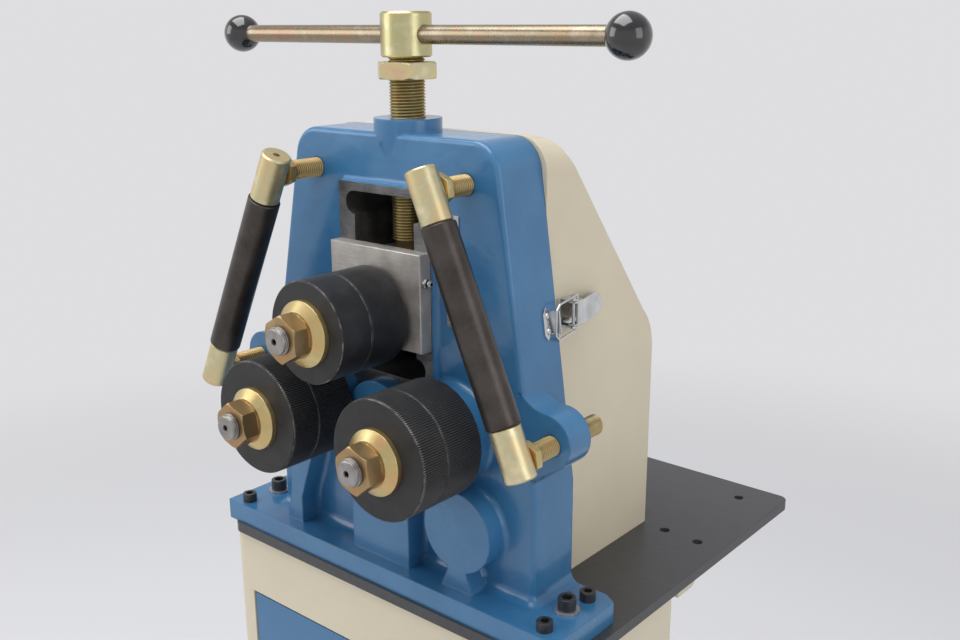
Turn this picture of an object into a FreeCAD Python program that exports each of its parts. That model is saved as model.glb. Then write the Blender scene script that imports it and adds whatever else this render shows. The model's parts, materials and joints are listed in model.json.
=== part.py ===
"""Ring roller: a three-roll section bending machine on its own floor cabinet.

Millimetres, +Z up. X runs across the machine, Y from the operator to the back.
The head is drawn from its own datum: the middle of the machine in X, the front face
of the centre column in Y and the top of the table plate in Z. Each piece is moved to
the floor frame when it is saved, with the origin amid the floor bolts.
"""
import FreeCAD
import Part
import math
import os

V = FreeCAD.Vector
X_AXIS = V(1, 0, 0)
Y_AXIS = V(0, 1, 0)
Z_AXIS = V(0, 0, 1)

# Where the head's datum lies in the floor frame
TABLE_TOP = 720.0
HEAD_Y = -96.0

# Clearances
RUNNING_GAP = 0.05
SLIDING_GAP = 0.1

# Cast head
WALL_FRONT = 25.0
WALL_REAR = 88.0
FOOT_HALF_WIDTH = 184.0
RIGHT_TOP_REACH = 137.0
RIGHT_LEAN_START = 134.0
LEFT_TOP_REACH = 130.0
LEFT_LEAN_START = 215.0
HEAD_TOP = 466.0
HEAD_CORNER_R = 32.0
FLANGE_HALF_WIDTH = 241.0
FLANGE_FRONT = -16.0
FLANGE_T = 23.0
SHELL_T = 16.0
POCKET_FRONT = 46.0

# Slide window and its raised pad
WINDOW_HALF = 41.0
WINDOW_LOW = 223.0
WINDOW_HIGH = 407.0
RELIEF_R = 12.0
PAD_HALF = 63.0
PAD_FRONT = 18.0
PAD_HIGH = 416.0
PAD_LOW = 205.0

# Rolls
ROLL_R = 59.0
TOP_ROLL_R = 50.0
SHAFT_X = 87.0
SHAFT_Z = 184.0
TOP_SHAFT_Z = 290.0
ROLL_FRONT = -85.0
ROLL_SEAM = -52.0
ROLL_BACK = -5.3
TOP_ROLL_FRONT = -87.5
TOP_ROLL_SEAM = -49.5
TOP_ROLL_BACK = -2.4
ROLL_BORE_R = 15.0
WASHER_R = 32.0
WASHER_T = 12.0
SHAFT_NUT_AF = 41.0
SHAFT_NUT_T = 19.0
THREAD_R = 13.5
THREAD_PROUD = 7.0
JOURNAL_R = 18.0
BUSH_R = 23.0
SHAFT_BOSS_R = 46.0
SHAFT_BOSS_FRONT = 2.0

# Vertical slide
SLIDE_HALF = 62.0
SLIDE_LOW = 259.0
SLIDE_HIGH = 357.0
SLIDE_FRONT = 3.0
BLOCK_LOW = 264.0
BLOCK_HIGH = 346.0
KEEPER_T = 9.0

# Feed screw and tee handle
SCREW_Y = 56.0
SCREW_R = 18.0
SCREW_BOSS_R = 34.0
SCREW_BOSS_TOP = 479.0
LOCK_NUT_AF = 55.0
LOCK_NUT_LOW = 516.0
LOCK_NUT_HIGH = 532.0
HUB_R = 25.0
HUB_LOW = 536.5
HUB_HIGH = 579.0
BAR_R = 9.0
BAR_Z = 557.5
BALL_R = 20.0
BALL_X = 252.0

# Side guides: two studs carry each inclined pin, and the left one stands wider and further out
GUIDE_TOP_X = 101.7
GUIDE_TOP_Z = 425.2
RIGHT_GUIDE_Y = -27.0
RIGHT_LOW_X = 202.7
RIGHT_LOW_Z = 194.5
LEFT_GUIDE_Y = -35.0
LEFT_LOW_X = 214.7
LEFT_LOW_Z = 198.0
EYE_R = 15.0
SLEEVE_R = 16.5
PIN_R = 10.0
EYE_ABOVE = 20.8
SLEEVE_START = 31.0
SLEEVE_END = 218.0
EYE_BELOW = 16.2
STUD_R = 10.0
STUD_NUT_AF = 27.0
STUD_NUT_T = 8.0
SPOT_FACE = 2.5
EAR_INWARD = 6.7
EAR_ABOVE = 1.0
EAR_R = 28.0
EAR_REAR = 58.0

# Gear train
MODULE_ROLLS = 3.0
ROLL_TEETH = 32
IDLER_TEETH = 26
MODULE_DRIVE = 4.0
BULL_TEETH = 58
PINION_TEETH = 15
PINION_X = 107.0
PINION_Z = SHAFT_Z - math.sqrt((MODULE_DRIVE * (BULL_TEETH + PINION_TEETH) / 2) ** 2 - PINION_X ** 2)
GEAR_FRONT = 92.0
GEAR_REAR = 110.0
BULL_FRONT = 116.0
BULL_REAR = 132.0

# Gear cover
COVER_HALF = 147.0
COVER_FRONT = 88.2
COVER_REAR = 290.0
SHEET_T = 1.5

# Table plate and cabinet
PLATE_T = 12.0
PLATE_LEFT = -231.0
PLATE_RIGHT = 251.0
PLATE_FRONT = -19.0
PLATE_REAR = 457.0
CAB_HALF = 242.0
CAB_FRONT = -12.0
CAB_REAR = 205.0
CAB_SHEET = 2.0
CAB_EDGE_R = 18.0
DOOR_HALF = 207.0
DOOR_TOP = -91.0
DOOR_LOW = -650.0
DOOR_GAP = 2.5
FLOOR = -TABLE_TOP

# Cast head, edges and further bores
EDGE_R = 5.0
FOOT_FILLET_R = 11.0
DRIVE_BOSS_R = 42.5
COLUMN_HALF = 41.0
IDLER_JOURNAL_R = 14.0
IDLER_BUSH_R = 18.0

# Flange screws
LARGE_BOLT_X = 214.0
LARGE_BOLT_Y = 39.0
LARGE_BOLT_R = 6.0
SMALL_BOLT_X = 218.0
SMALL_BOLT_YS = (-2.0, 68.0)
SMALL_BOLT_R = 5.0
FLANGE_WASHER_R = 12.5
FLANGE_WASHER_T = 2.5

# Grease nipple and the screw's lower end
NIPPLE_Y = 10.0
NIPPLE_Z = 329.0
SCREW_NECK_R = 10.0
SCREW_COLLAR_R = 14.5

# Gear bores and tooth form
GEAR_BORE_R = 14.0
FLANK_POINTS = 3
BACKLASH = 0.35
BULL_BORE_R = 12.0

# Gearbox and motor
GEARBOX_Y0 = 150.0
GEARBOX_Y1 = 250.0
GEARBOX_X0 = 66.0
GEARBOX_X1 = 143.0
WORM_Z = PINION_Z + 63.0
MOTOR_Y = 200.0
MOTOR_R = 56.0

# Cover shoulder and latches
COVER_SHOULDER_R = 34.0
COVER_LIP = 13.0
LATCH_Z = 293.0
LATCH_PIVOT_Y = 120.0
BASE_X = COVER_HALF
BASE_T = 3.0
PIVOT_X = COVER_HALF + 11.0
BAIL_ARM = 6.0
BAIL_R = 1.2
CHEEK_R = BAIL_ARM - BAIL_R - 0.3
HOOK_Y = 78.0
RIVET_Y = 72.0
STRIKE_T = 1.6
HOOK_DEPTH = 9.5
BAIL_HALF = 17.6
LEVER_BEND = 41.0
LEVER_END = 52.0

# Guide studs
UPPER_STUD_END = 66.0
LOWER_STUD_END = 76.0

# Plate holes and rails
PLATE_HOLE_R = 5.75
PLATE_HOLES = ((202.5, 419.0), (177.0, 285.0), (220.5, 283.0))
RAIL_X = 238.0
RAIL_MIDDLE = (PLATE_LEFT + PLATE_RIGHT) / 2
RAIL_BOLT_Y = 251.0

# Cabinet's back, vents and feet
REVEAL_DEPTH = 12.0
FOOT_T = 8.0
GLAND_X = 150.0
GLAND_Z = -600.0
VENT_Z = -560.0
VENT_PITCH = 16.0
VENT_SLOTS = 7
FOOT_HOLE_X = 258.0
FOOT_HOLE_Y = 75.0
FOOT_HOLE_R = 6.5

# Door and lock
DOOR_FRONT = CAB_FRONT + 1.0
DOOR_DEPTH = 14.0
DOOR_AXIS_X = -DOOR_HALF + 5.0
DOOR_AXIS_Y = DOOR_FRONT + 5.0
DOOR_PIN_R = 2.5
LOCK_X = 182.0
LOCK_Z = -330.0
LOCK_R = 10.0


def box(x0, x1, y0, y1, z0, z1):
    """A block between three pairs of faces."""
    return Part.makeBox(x1 - x0, y1 - y0, z1 - z0, V(x0, y0, z0))


def rod_y(x, z, r, y0, y1):
    """A cylinder along Y."""
    return Part.makeCylinder(r, y1 - y0, V(x, y0, z), Y_AXIS)


def rod_z(x, y, r, z0, z1):
    """A cylinder along Z."""
    return Part.makeCylinder(r, z1 - z0, V(x, y, z0), Z_AXIS)


def rod_x(y, z, r, x0, x1):
    """A cylinder along X."""
    return Part.makeCylinder(r, x1 - x0, V(x0, y, z), X_AXIS)


def plate_xz(points, y0, y1):
    """A flat outline in XZ, given a depth along Y."""
    corners = [V(x, y0, z) for x, z in points]
    return Part.Face(Part.makePolygon(corners + corners[:1])).extrude(V(0, y1 - y0, 0))


def turned_y(x, z, profile):
    """A solid of revolution about a Y axis, from (y, radius) points."""
    corners = [V(x + r, y, z) for y, r in profile]
    face = Part.Face(Part.makePolygon(corners + corners[:1]))
    return face.revolve(V(x, 0, z), Y_AXIS, 360)


def turned_z(x, y, profile):
    """A solid of revolution about a Z axis, from (z, radius) points."""
    corners = [V(x + r, y, z) for z, r in profile]
    face = Part.Face(Part.makePolygon(corners + corners[:1]))
    return face.revolve(V(x, y, 0), Z_AXIS, 360)


def hexagon(across_flats, thickness, chamfer=1.5):
    """A hexagon along +Z from the origin, its corners turned off at both ends."""
    corner = across_flats / math.sqrt(3)
    points = [V(corner * math.cos(math.radians(60 * i + 30)), corner * math.sin(math.radians(60 * i + 30)), 0)
              for i in range(6)]
    prism = Part.Face(Part.makePolygon(points + points[:1])).extrude(V(0, 0, thickness))
    rim = corner - chamfer
    turned = turned_z(0, 0, [(0, 0), (0, rim), (chamfer * 0.6, corner), (thickness - chamfer * 0.6, corner),
                             (thickness, rim), (thickness, 0)])
    return prism.common(turned)


def aim_y(shape, x, y, z, turn=0.0):
    """Turn a shape drawn along +Z to point along -Y, and set its base at a place."""
    placed = shape.copy()
    placed.rotate(V(0, 0, 0), Z_AXIS, turn)
    placed.rotate(V(0, 0, 0), X_AXIS, 90)
    placed.translate(V(x, y, z))
    return placed


def fuse_all(shapes):
    """One solid from several that touch."""
    whole = shapes[0].fuse(shapes[1:]) if len(shapes) > 1 else shapes[0]
    return whole.removeSplitter()


def mirrored(shape):
    """The same shape on the other side of the machine's middle plane."""
    return shape.mirror(V(0, 0, 0), X_AXIS)


def save(name, shape):
    """Write one node, moved from the head's datum to the floor frame."""
    placed = shape.copy()
    placed.translate(V(0, HEAD_Y, TABLE_TOP))
    placed.exportStep("parts/" + name + ".step")
    print(name, "valid", placed.isValid(), "solids", len(placed.Solids), "cm3", round(placed.Volume / 1000, 1))


def lean_start(side):
    """The height where the head's upright side begins to lean; side is 1 at the right, -1 at the left."""
    return RIGHT_LEAN_START if side > 0 else LEFT_LEAN_START


def wall_reach(z, side):
    """How far the head's side stands from the middle at a height."""
    top = RIGHT_TOP_REACH if side > 0 else LEFT_TOP_REACH
    share = max(0.0, z - lean_start(side)) / (HEAD_TOP - lean_start(side))
    return FOOT_HALF_WIDTH + (top - FOOT_HALF_WIDTH) * share


def rounded_rect_xz(x0, x1, z0, z1, r, y0, y1):
    """A rectangle in XZ with round corners, given a depth along Y."""
    block = box(x0, x1, y0, y1, z0, z1)
    edges = [e for e in block.Edges if abs(e.tangentAt(0).y) > 0.9]
    return block.makeFillet(r, edges)


def rounded_rect_xy(x0, x1, y0, y1, r, z0, z1):
    """A rectangle in XY with round corners, given a height along Z."""
    block = box(x0, x1, y0, y1, z0, z1)
    edges = [e for e in block.Edges if abs(e.tangentAt(0).z) > 0.9]
    return block.makeFillet(r, edges)


# The cast head

def wall_outline(inset, low, high):
    """The wall's outline between two heights, drawn in by a wall thickness."""
    right = [(wall_reach(z, 1) - inset, z) for z in (low, RIGHT_LEAN_START, high)]
    left = [(inset - wall_reach(z, -1), z) for z in (high, LEFT_LEAN_START, low)]
    return right + left


def head_wall():
    """The wall, upright below and leaning above, with round shoulders and a softened front edge."""
    wall = plate_xz(wall_outline(0, FLANGE_T, HEAD_TOP), WALL_FRONT, WALL_REAR)
    shoulders = [e for e in wall.Edges if abs(e.tangentAt(0).y) > 0.9 and e.CenterOfMass.z > HEAD_TOP - 1]
    wall = wall.makeFillet(HEAD_CORNER_R, shoulders)
    front = [e for e in wall.Edges
             if abs(e.CenterOfMass.y - WALL_FRONT) < 0.01 and e.CenterOfMass.z > FLANGE_T + 1]
    return wall.makeFillet(EDGE_R, front)


def filleted_foot(flange):
    """The wall set on its flange, with the cast radius round its front and sides."""
    whole = flange.fuse(head_wall()).removeSplitter()
    roots = [e for e in whole.Edges if abs(e.BoundBox.ZMin - FLANGE_T) < 0.01 and abs(e.BoundBox.ZMax - FLANGE_T) < 0.01
             and abs(e.CenterOfMass.x) < FOOT_HALF_WIDTH + 1 and WALL_FRONT - 1 < e.CenterOfMass.y < WALL_REAR - 1]
    return whole.makeFillet(FOOT_FILLET_R, roots)


def ear(low_x, low_z, side):
    """The lug for a lower guide stud, drawn at the right: round end, straight underside and blended top."""
    cx = low_x - EAR_INWARD
    cz = low_z + EAR_ABOVE
    rim = []
    for degrees in (-60, 0, 83):
        angle = math.radians(degrees)
        rim.append(V(cx + EAR_R * math.cos(angle), WALL_FRONT, cz + EAR_R * math.sin(angle)))
    low, tip, top = rim
    inner_x = 150.0
    reach = 44.0
    armpit = V(low.x - reach * math.cos(math.radians(30)), WALL_FRONT, low.z - reach * math.sin(math.radians(30)))
    shoulder = V(wall_reach(cz + 40, side) - 1, WALL_FRONT, cz + 40)
    blend = V(top.x - (top.x - shoulder.x) * 0.54, WALL_FRONT, top.z + 3.2)
    inner_top = V(inner_x, WALL_FRONT, shoulder.z)
    inner_low = V(inner_x, WALL_FRONT, armpit.z)
    edges = [Part.Arc(shoulder, blend, top).toShape(), Part.Arc(top, tip, low).toShape(),
             Part.makeLine(low, armpit), Part.makeLine(armpit, inner_low),
             Part.makeLine(inner_low, inner_top), Part.makeLine(inner_top, shoulder)]
    return Part.Face(Part.Wire(edges)).extrude(V(0, EAR_REAR - WALL_FRONT, 0))


def round_boss(x, z, r, front, neck_half, neck_low):
    """A round bearing boss with a neck that flares towards the flange."""
    disc = rod_y(x, z, r, front, WALL_FRONT + 1)
    flare = 9.0
    neck = plate_xz([(x - neck_half - flare, neck_low), (x + neck_half + flare, neck_low),
                     (x + neck_half, neck_low + 20), (x + neck_half, z), (x - neck_half, z),
                     (x - neck_half, neck_low + 20)], front, WALL_FRONT + 1)
    return disc.fuse(neck)


def head_front_relief():
    """Everything that stands proud of the wall's front face."""
    column = box(-COLUMN_HALF, COLUMN_HALF, 0, WALL_FRONT + 1, FLANGE_T - 1, SHAFT_Z - 6)
    column_top = rod_y(0, SHAFT_Z - 6, COLUMN_HALF, 0, WALL_FRONT + 1)
    drive_boss = round_boss(PINION_X, PINION_Z + 1, DRIVE_BOSS_R, 0, 12, FLANGE_T - 1)
    rib = plate_xz([(-150, FLANGE_T - 1), (-125, FLANGE_T - 1), (-125, 54), (-118, 74), (-107, 103),
                    (-96, 150), (-124, 150), (-140, 74)], 0, WALL_FRONT + 1)
    pad = rounded_rect_xz(-PAD_HALF, PAD_HALF, PAD_LOW, PAD_HIGH, 3, PAD_FRONT, WALL_FRONT + 1)
    bosses = [rod_y(side * SHAFT_X, SHAFT_Z, SHAFT_BOSS_R, SHAFT_BOSS_FRONT, WALL_FRONT + 1)
              for side in (-1, 1)]
    return [column, column_top, drive_boss, rib, pad] + bosses


def head_pockets():
    """The open back of the casting, left between its bosses and ribs."""
    low = FLANGE_T + 14
    high = HEAD_TOP - SHELL_T
    hollow = plate_xz(wall_outline(SHELL_T, low, high), POCKET_FRONT, WALL_REAR + 1)
    corners = [e for e in hollow.Edges if abs(e.tangentAt(0).y) > 0.9 and min(e.CenterOfMass.z - low, high - e.CenterOfMass.z) < 1]
    hollow = hollow.makeFillet(16, corners)
    depth = (POCKET_FRONT - 1, WALL_REAR + 2)
    kept = [box(-PAD_HALF, PAD_HALF, *depth, WINDOW_LOW - 14, HEAD_TOP + 1),
            box(-FOOT_HALF_WIDTH, FOOT_HALF_WIDTH, *depth, SHAFT_Z - 7, SHAFT_Z + 7),
            box(-7, 7, *depth, 0, SHAFT_Z),
            rod_y(0, SHAFT_Z, 36, *depth),
            rod_y(PINION_X, PINION_Z, 36, *depth)]
    for side in (-1, 1):
        kept.append(rod_y(side * SHAFT_X, SHAFT_Z, 38, *depth))
        kept.append(rod_y(side * GUIDE_TOP_X, GUIDE_TOP_Z, 19, *depth))
    return hollow.cut(kept)


def head_window():
    """The slide's window, with a drilled relief in each corner."""
    tools = [box(-WINDOW_HALF, WINDOW_HALF, -1, WALL_REAR + 1, WINDOW_LOW, WINDOW_HIGH)]
    for x in (-WINDOW_HALF, WINDOW_HALF):
        for z in (WINDOW_LOW + RELIEF_R, WINDOW_HIGH - RELIEF_R):
            tools.append(rod_y(x, z, RELIEF_R, -1, WALL_REAR + 1))
    return tools


def frame_casting():
    """The blue head: wall, flange foot, window, bosses, ears and bores."""
    flange = rounded_rect_xy(-FLANGE_HALF_WIDTH, FLANGE_HALF_WIDTH, FLANGE_FRONT, WALL_REAR, 2, 0, FLANGE_T)
    wedge = [V(FLANGE_HALF_WIDTH + 1, WALL_REAR - 9, -1), V(FLANGE_HALF_WIDTH + 1, WALL_REAR + 1, -1),
             V(FLANGE_HALF_WIDTH - 16, WALL_REAR + 1, -1)]
    bevel = Part.Face(Part.makePolygon(wedge + wedge[:1])).extrude(V(0, 0, FLANGE_T + 2))
    flange = flange.cut([bevel, mirrored(bevel)])
    screw_boss = turned_z(0, SCREW_Y, [(HEAD_TOP - 28, 0), (HEAD_TOP - 28, SCREW_BOSS_R - 3.3),
                                       (HEAD_TOP - 4, SCREW_BOSS_R), (SCREW_BOSS_TOP, SCREW_BOSS_R), (SCREW_BOSS_TOP, 0)])
    screw_boss = screw_boss.common(box(-SCREW_BOSS_R, SCREW_BOSS_R, 0, WALL_REAR, 0, SCREW_BOSS_TOP))
    ears = [ear(RIGHT_LOW_X, RIGHT_LOW_Z, 1), mirrored(ear(LEFT_LOW_X, LEFT_LOW_Z, -1))]
    body = fuse_all([filleted_foot(flange), screw_boss] + ears + head_front_relief())
    tools = head_window() + [head_pockets(), rod_z(0, SCREW_Y, SCREW_R + RUNNING_GAP, WINDOW_HIGH - 1, HEAD_TOP + 20)]
    tools.append(rod_y(0, SHAFT_Z, IDLER_BUSH_R, 30, WALL_REAR + 1))
    tools.append(rod_y(PINION_X, PINION_Z, IDLER_BUSH_R, 30, WALL_REAR + 1))
    for x, z in ((RIGHT_LOW_X, RIGHT_LOW_Z), (-LEFT_LOW_X, LEFT_LOW_Z)):
        tools.append(rod_y(x, z, STUD_R + RUNNING_GAP, 0, EAR_REAR + 1))
    for side in (-1, 1):
        tools.append(rod_y(side * SHAFT_X, SHAFT_Z, BUSH_R, -1, WALL_REAR + 1))
        tools.append(rod_y(side * GUIDE_TOP_X, GUIDE_TOP_Z, STUD_R + RUNNING_GAP, 0, WALL_REAR + 1))
        tools.append(rod_z(side * LARGE_BOLT_X, LARGE_BOLT_Y, LARGE_BOLT_R, -1, FLANGE_T + 1))
        for y in SMALL_BOLT_YS:
            tools.append(rod_z(side * SMALL_BOLT_X, y, SMALL_BOLT_R, -1, FLANGE_T + 1))
    return body.cut(tools)


def shaft_bushes():
    """Plain bronze bushes: two for each roll shaft, the idler and the pinion."""
    rings = []
    for side in (-1, 1):
        for y0, y1 in ((SHAFT_BOSS_FRONT, 32.0), (60.0, WALL_REAR)):
            outer = rod_y(side * SHAFT_X, SHAFT_Z, BUSH_R, y0, y1)
            rings.append(outer.cut(rod_y(side * SHAFT_X, SHAFT_Z, JOURNAL_R + RUNNING_GAP, y0 - 1, y1 + 1)))
    for x, z in ((0, SHAFT_Z), (PINION_X, PINION_Z)):
        for y0, y1 in ((30.0, 50.0), (68.0, WALL_REAR)):
            outer = rod_y(x, z, IDLER_BUSH_R, y0, y1)
            rings.append(outer.cut(rod_y(x, z, IDLER_JOURNAL_R + RUNNING_GAP, y0 - 1, y1 + 1)))
    return Part.makeCompound(rings)


# Fasteners of the flange

def socket_screw(r, head_r, head_h, length, key_af):
    """A socket head cap screw, seated at z = 0 with its shank below."""
    head = turned_z(0, 0, [(0, 0), (0, head_r), (head_h - 0.6, head_r), (head_h, head_r - 0.6), (head_h, 0)])
    key = hexagon(key_af, head_h, 0.01)
    key.translate(V(0, 0, head_h * 0.45))
    return head.fuse(rod_z(0, 0, r, -length, 0.1)).cut(key)


def moved(shape, x, y, z):
    """A copy of a shape, shifted."""
    copy = shape.copy()
    copy.translate(V(x, y, z))
    return copy


def flange_bolts():
    """Socket screws through the flange: a large one and two small ones on each side."""
    large = socket_screw(LARGE_BOLT_R, 9, 12, FLANGE_T + PLATE_T, 10)
    small = socket_screw(SMALL_BOLT_R, 8, 10, FLANGE_T + PLATE_T - 2, 8)
    screws = []
    for side in (-1, 1):
        screws.append(moved(large, side * LARGE_BOLT_X, LARGE_BOLT_Y, FLANGE_T + FLANGE_WASHER_T))
        screws += [moved(small, side * SMALL_BOLT_X, y, FLANGE_T) for y in SMALL_BOLT_YS]
    return Part.makeCompound(screws)


def flange_bolt_washers():
    rings = []
    for side in (-1, 1):
        x = side * LARGE_BOLT_X
        ring = rod_z(x, LARGE_BOLT_Y, FLANGE_WASHER_R, FLANGE_T, FLANGE_T + FLANGE_WASHER_T)
        rings.append(ring.cut(rod_z(x, LARGE_BOLT_Y, LARGE_BOLT_R, FLANGE_T - 1, FLANGE_T + 5)))
    return Part.makeCompound(rings)


def scale_rule():
    """The steel rule beside the window."""
    return rounded_rect_xz(77, 93, 286, 395, 1, WALL_FRONT - 1, WALL_FRONT)


# Vertical slide

def slide_plate():
    plate = box(-SLIDE_HALF, SLIDE_HALF, SLIDE_FRONT, PAD_FRONT - SLIDING_GAP, SLIDE_LOW, SLIDE_HIGH)
    edges = [e for e in plate.Edges if abs(e.CenterOfMass.y - SLIDE_FRONT) < 0.01]
    plate = plate.makeChamfer(0.8, edges)
    bore = rod_y(0, TOP_SHAFT_Z, JOURNAL_R + 1, SLIDE_FRONT - 1, PAD_FRONT + 1)
    grease_way = rod_x(NIPPLE_Y, NIPPLE_Z, 2.5, SLIDE_HALF - 14, SLIDE_HALF + 1)
    return plate.cut([bore, grease_way])


def slide_block():
    """The block that fills the window: bored for the roll's shaft and the screw's end."""
    half = WINDOW_HALF - SLIDING_GAP
    block = box(-half, half, PAD_FRONT - SLIDING_GAP, WALL_REAR + SLIDING_GAP, BLOCK_LOW, BLOCK_HIGH)
    long_edges = [e for e in block.Edges if abs(e.tangentAt(0).y) > 0.9]
    block = block.makeChamfer(1.5, long_edges)
    bore = rod_y(0, TOP_SHAFT_Z, BUSH_R, 0, WALL_REAR + 1)
    slot = box(-SCREW_NECK_R - 0.3, SCREW_NECK_R + 0.3, SCREW_Y, WALL_REAR + 1, 330, BLOCK_HIGH + 1)
    head_slot = box(-SCREW_COLLAR_R - 0.3, SCREW_COLLAR_R + 0.3, SCREW_Y, WALL_REAR + 1, 318, 333)
    neck = rod_z(0, SCREW_Y, SCREW_NECK_R + 0.3, 330, BLOCK_HIGH + 1)
    collar = rod_z(0, SCREW_Y, SCREW_COLLAR_R + 0.3, 318, 333)
    return block.cut([bore, slot, head_slot, neck, collar])


def slide_keeper():
    """The rear plate that keeps the block in its window, with its four screws."""
    y0 = WALL_REAR + SLIDING_GAP
    keeper = rounded_rect_xz(-56, 56, 270, 343, 4, y0, y0 + KEEPER_T)
    solids = [keeper.cut(rod_y(0, TOP_SHAFT_Z, JOURNAL_R + 1, y0 - 1, y0 + 20))]
    for x in (-31, 31):
        for z in (277, 336):
            solids.append(aim_y(hexagon(10, 5, 0.6), x, y0 + KEEPER_T + 5, z))
    return Part.makeCompound(solids)


def top_bushes():
    rings = []
    for y0, y1 in ((PAD_FRONT, 40.0), (64.0, WALL_REAR)):
        outer = rod_y(0, TOP_SHAFT_Z, BUSH_R, y0, y1)
        rings.append(outer.cut(rod_y(0, TOP_SHAFT_Z, JOURNAL_R + RUNNING_GAP, y0 - 1, y1 + 1)))
    return Part.makeCompound(rings)


def grease_nipple():
    """A cone-headed lubricating nipple in the slide plate's edge."""
    x = SLIDE_HALF
    corners = [V(x - 8, NIPPLE_Y, NIPPLE_Z), V(x - 8, NIPPLE_Y, NIPPLE_Z + 2.5), V(x, NIPPLE_Y, NIPPLE_Z + 2.5),
               V(x, NIPPLE_Y, NIPPLE_Z + 5.2), V(x + 3.5, NIPPLE_Y, NIPPLE_Z + 5.2),
               V(x + 4.5, NIPPLE_Y, NIPPLE_Z + 2.4), V(x + 7, NIPPLE_Y, NIPPLE_Z + 3.8),
               V(x + 9, NIPPLE_Y, NIPPLE_Z + 1.8), V(x + 9, NIPPLE_Y, NIPPLE_Z)]
    face = Part.Face(Part.makePolygon(corners + corners[:1]))
    return face.revolve(V(0, NIPPLE_Y, NIPPLE_Z), X_AXIS, 360)


# Feed screw and tee handle

def feed_screw():
    """Collar in the slide block, neck, plain end, threaded length and top spigot."""
    profile = [(320, 0), (320, SCREW_COLLAR_R), (332.5, SCREW_COLLAR_R), (332.5, SCREW_NECK_R),
               (BLOCK_HIGH + 0.3, SCREW_NECK_R), (BLOCK_HIGH + 0.3, 15), (356, 15), (358, SCREW_R),
               (534, SCREW_R), (HUB_LOW, 15), (572, 15), (572, 0)]
    screw = turned_z(0, SCREW_Y, profile)
    return screw.cut(rod_x(SCREW_Y, BAR_Z, BAR_R, -30, 30))


def screw_lock_nut():
    nut = hexagon(LOCK_NUT_AF, LOCK_NUT_HIGH - LOCK_NUT_LOW, 3)
    nut.rotate(V(0, 0, 0), Z_AXIS, -12)
    nut = moved(nut, 0, SCREW_Y, LOCK_NUT_LOW)
    return nut.cut(rod_z(0, SCREW_Y, SCREW_R, LOCK_NUT_LOW - 1, LOCK_NUT_HIGH + 1))


def handle_hub():
    hub = turned_z(0, SCREW_Y, [(HUB_LOW, 0), (HUB_LOW, HUB_R - 1.5), (HUB_LOW + 1.5, HUB_R),
                                (HUB_HIGH - 2, HUB_R), (HUB_HIGH, HUB_R - 2), (HUB_HIGH, 0)])
    return hub.cut([rod_z(0, SCREW_Y, 15, HUB_LOW - 1, 572), rod_x(SCREW_Y, BAR_Z, BAR_R, -40, 40)])


def handle_bar():
    end = BALL_X - 4
    bar = rod_x(SCREW_Y, BAR_Z, BAR_R, -end, end)
    return bar.makeChamfer(1.0, [e for e in bar.Edges if len(e.Vertexes) == 1])


def handle_balls():
    """Ball knobs, each with a flat where the bar enters."""
    balls = []
    for side in (-1, 1):
        ball = Part.makeSphere(BALL_R, V(side * BALL_X, SCREW_Y, BAR_Z))
        mouth = side * (BALL_X - BALL_R + 2)
        trim = box(min(mouth, mouth - side * 9), max(mouth, mouth - side * 9),
                   SCREW_Y - 25, SCREW_Y + 25, BAR_Z - 25, BAR_Z + 25)
        inner = min(0, side * (BALL_X - 4))
        outer = max(0, side * (BALL_X - 4))
        balls.append(ball.cut([trim, rod_x(SCREW_Y, BAR_Z, BAR_R, inner, outer)]))
    return Part.makeCompound(balls)


# Rolls and their shafts

def ring(x, z, r, y0, y1):
    """A roll ring with small chamfers, bored for its shaft."""
    c = 1.5
    return turned_y(x, z, [(y0, ROLL_BORE_R), (y0, r - c), (y0 + c, r), (y1 - c, r), (y1, r - c), (y1, ROLL_BORE_R)])


def flange_washer(x, z, front):
    """The thick dished washer in front of a roll, its rim turned down to a cone."""
    y0 = front - WASHER_T
    return turned_y(x, z, [(y0, THREAD_R), (y0, WASHER_R - 9), (y0 + 7, WASHER_R), (front, WASHER_R),
                           (front, THREAD_R)])


def shaft_nut(x, z, front, turn):
    """A hexagon nut with a thin collar against the washer."""
    face = front - WASHER_T
    nut = aim_y(hexagon(SHAFT_NUT_AF, SHAFT_NUT_T - 1.5, 2.5), x, face - 1.5, z, turn)
    collar = rod_y(x, z, SHAFT_NUT_AF / 2 + 1, face - 1.5, face)
    return nut.fuse(collar).cut(rod_y(x, z, THREAD_R, face - 40, face + 1))


def shaft_front_end(front):
    """The (y, radius) points of a shaft's threaded nose, with its centre hole."""
    tip = front - WASHER_T - SHAFT_NUT_T - THREAD_PROUD
    return [(tip + 6, 0), (tip, 3.2), (tip, THREAD_R - 1.8), (tip + 1.8, THREAD_R), (front, THREAD_R),
            (front + 2, ROLL_BORE_R)]


def lower_shaft(x):
    """Nose, ring seat, shoulder, journal and gear seat."""
    profile = shaft_front_end(ROLL_FRONT)
    profile += [(ROLL_BACK, ROLL_BORE_R), (ROLL_BACK, JOURNAL_R + 5), (SHAFT_BOSS_FRONT - 0.3, JOURNAL_R + 5),
                (SHAFT_BOSS_FRONT - 0.3, JOURNAL_R), (WALL_REAR + 2, JOURNAL_R), (GEAR_FRONT, JOURNAL_R),
                (GEAR_FRONT, GEAR_BORE_R), (GEAR_REAR + 3, GEAR_BORE_R), (GEAR_REAR + 3, 0)]
    return turned_y(x, SHAFT_Z, profile)


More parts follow.
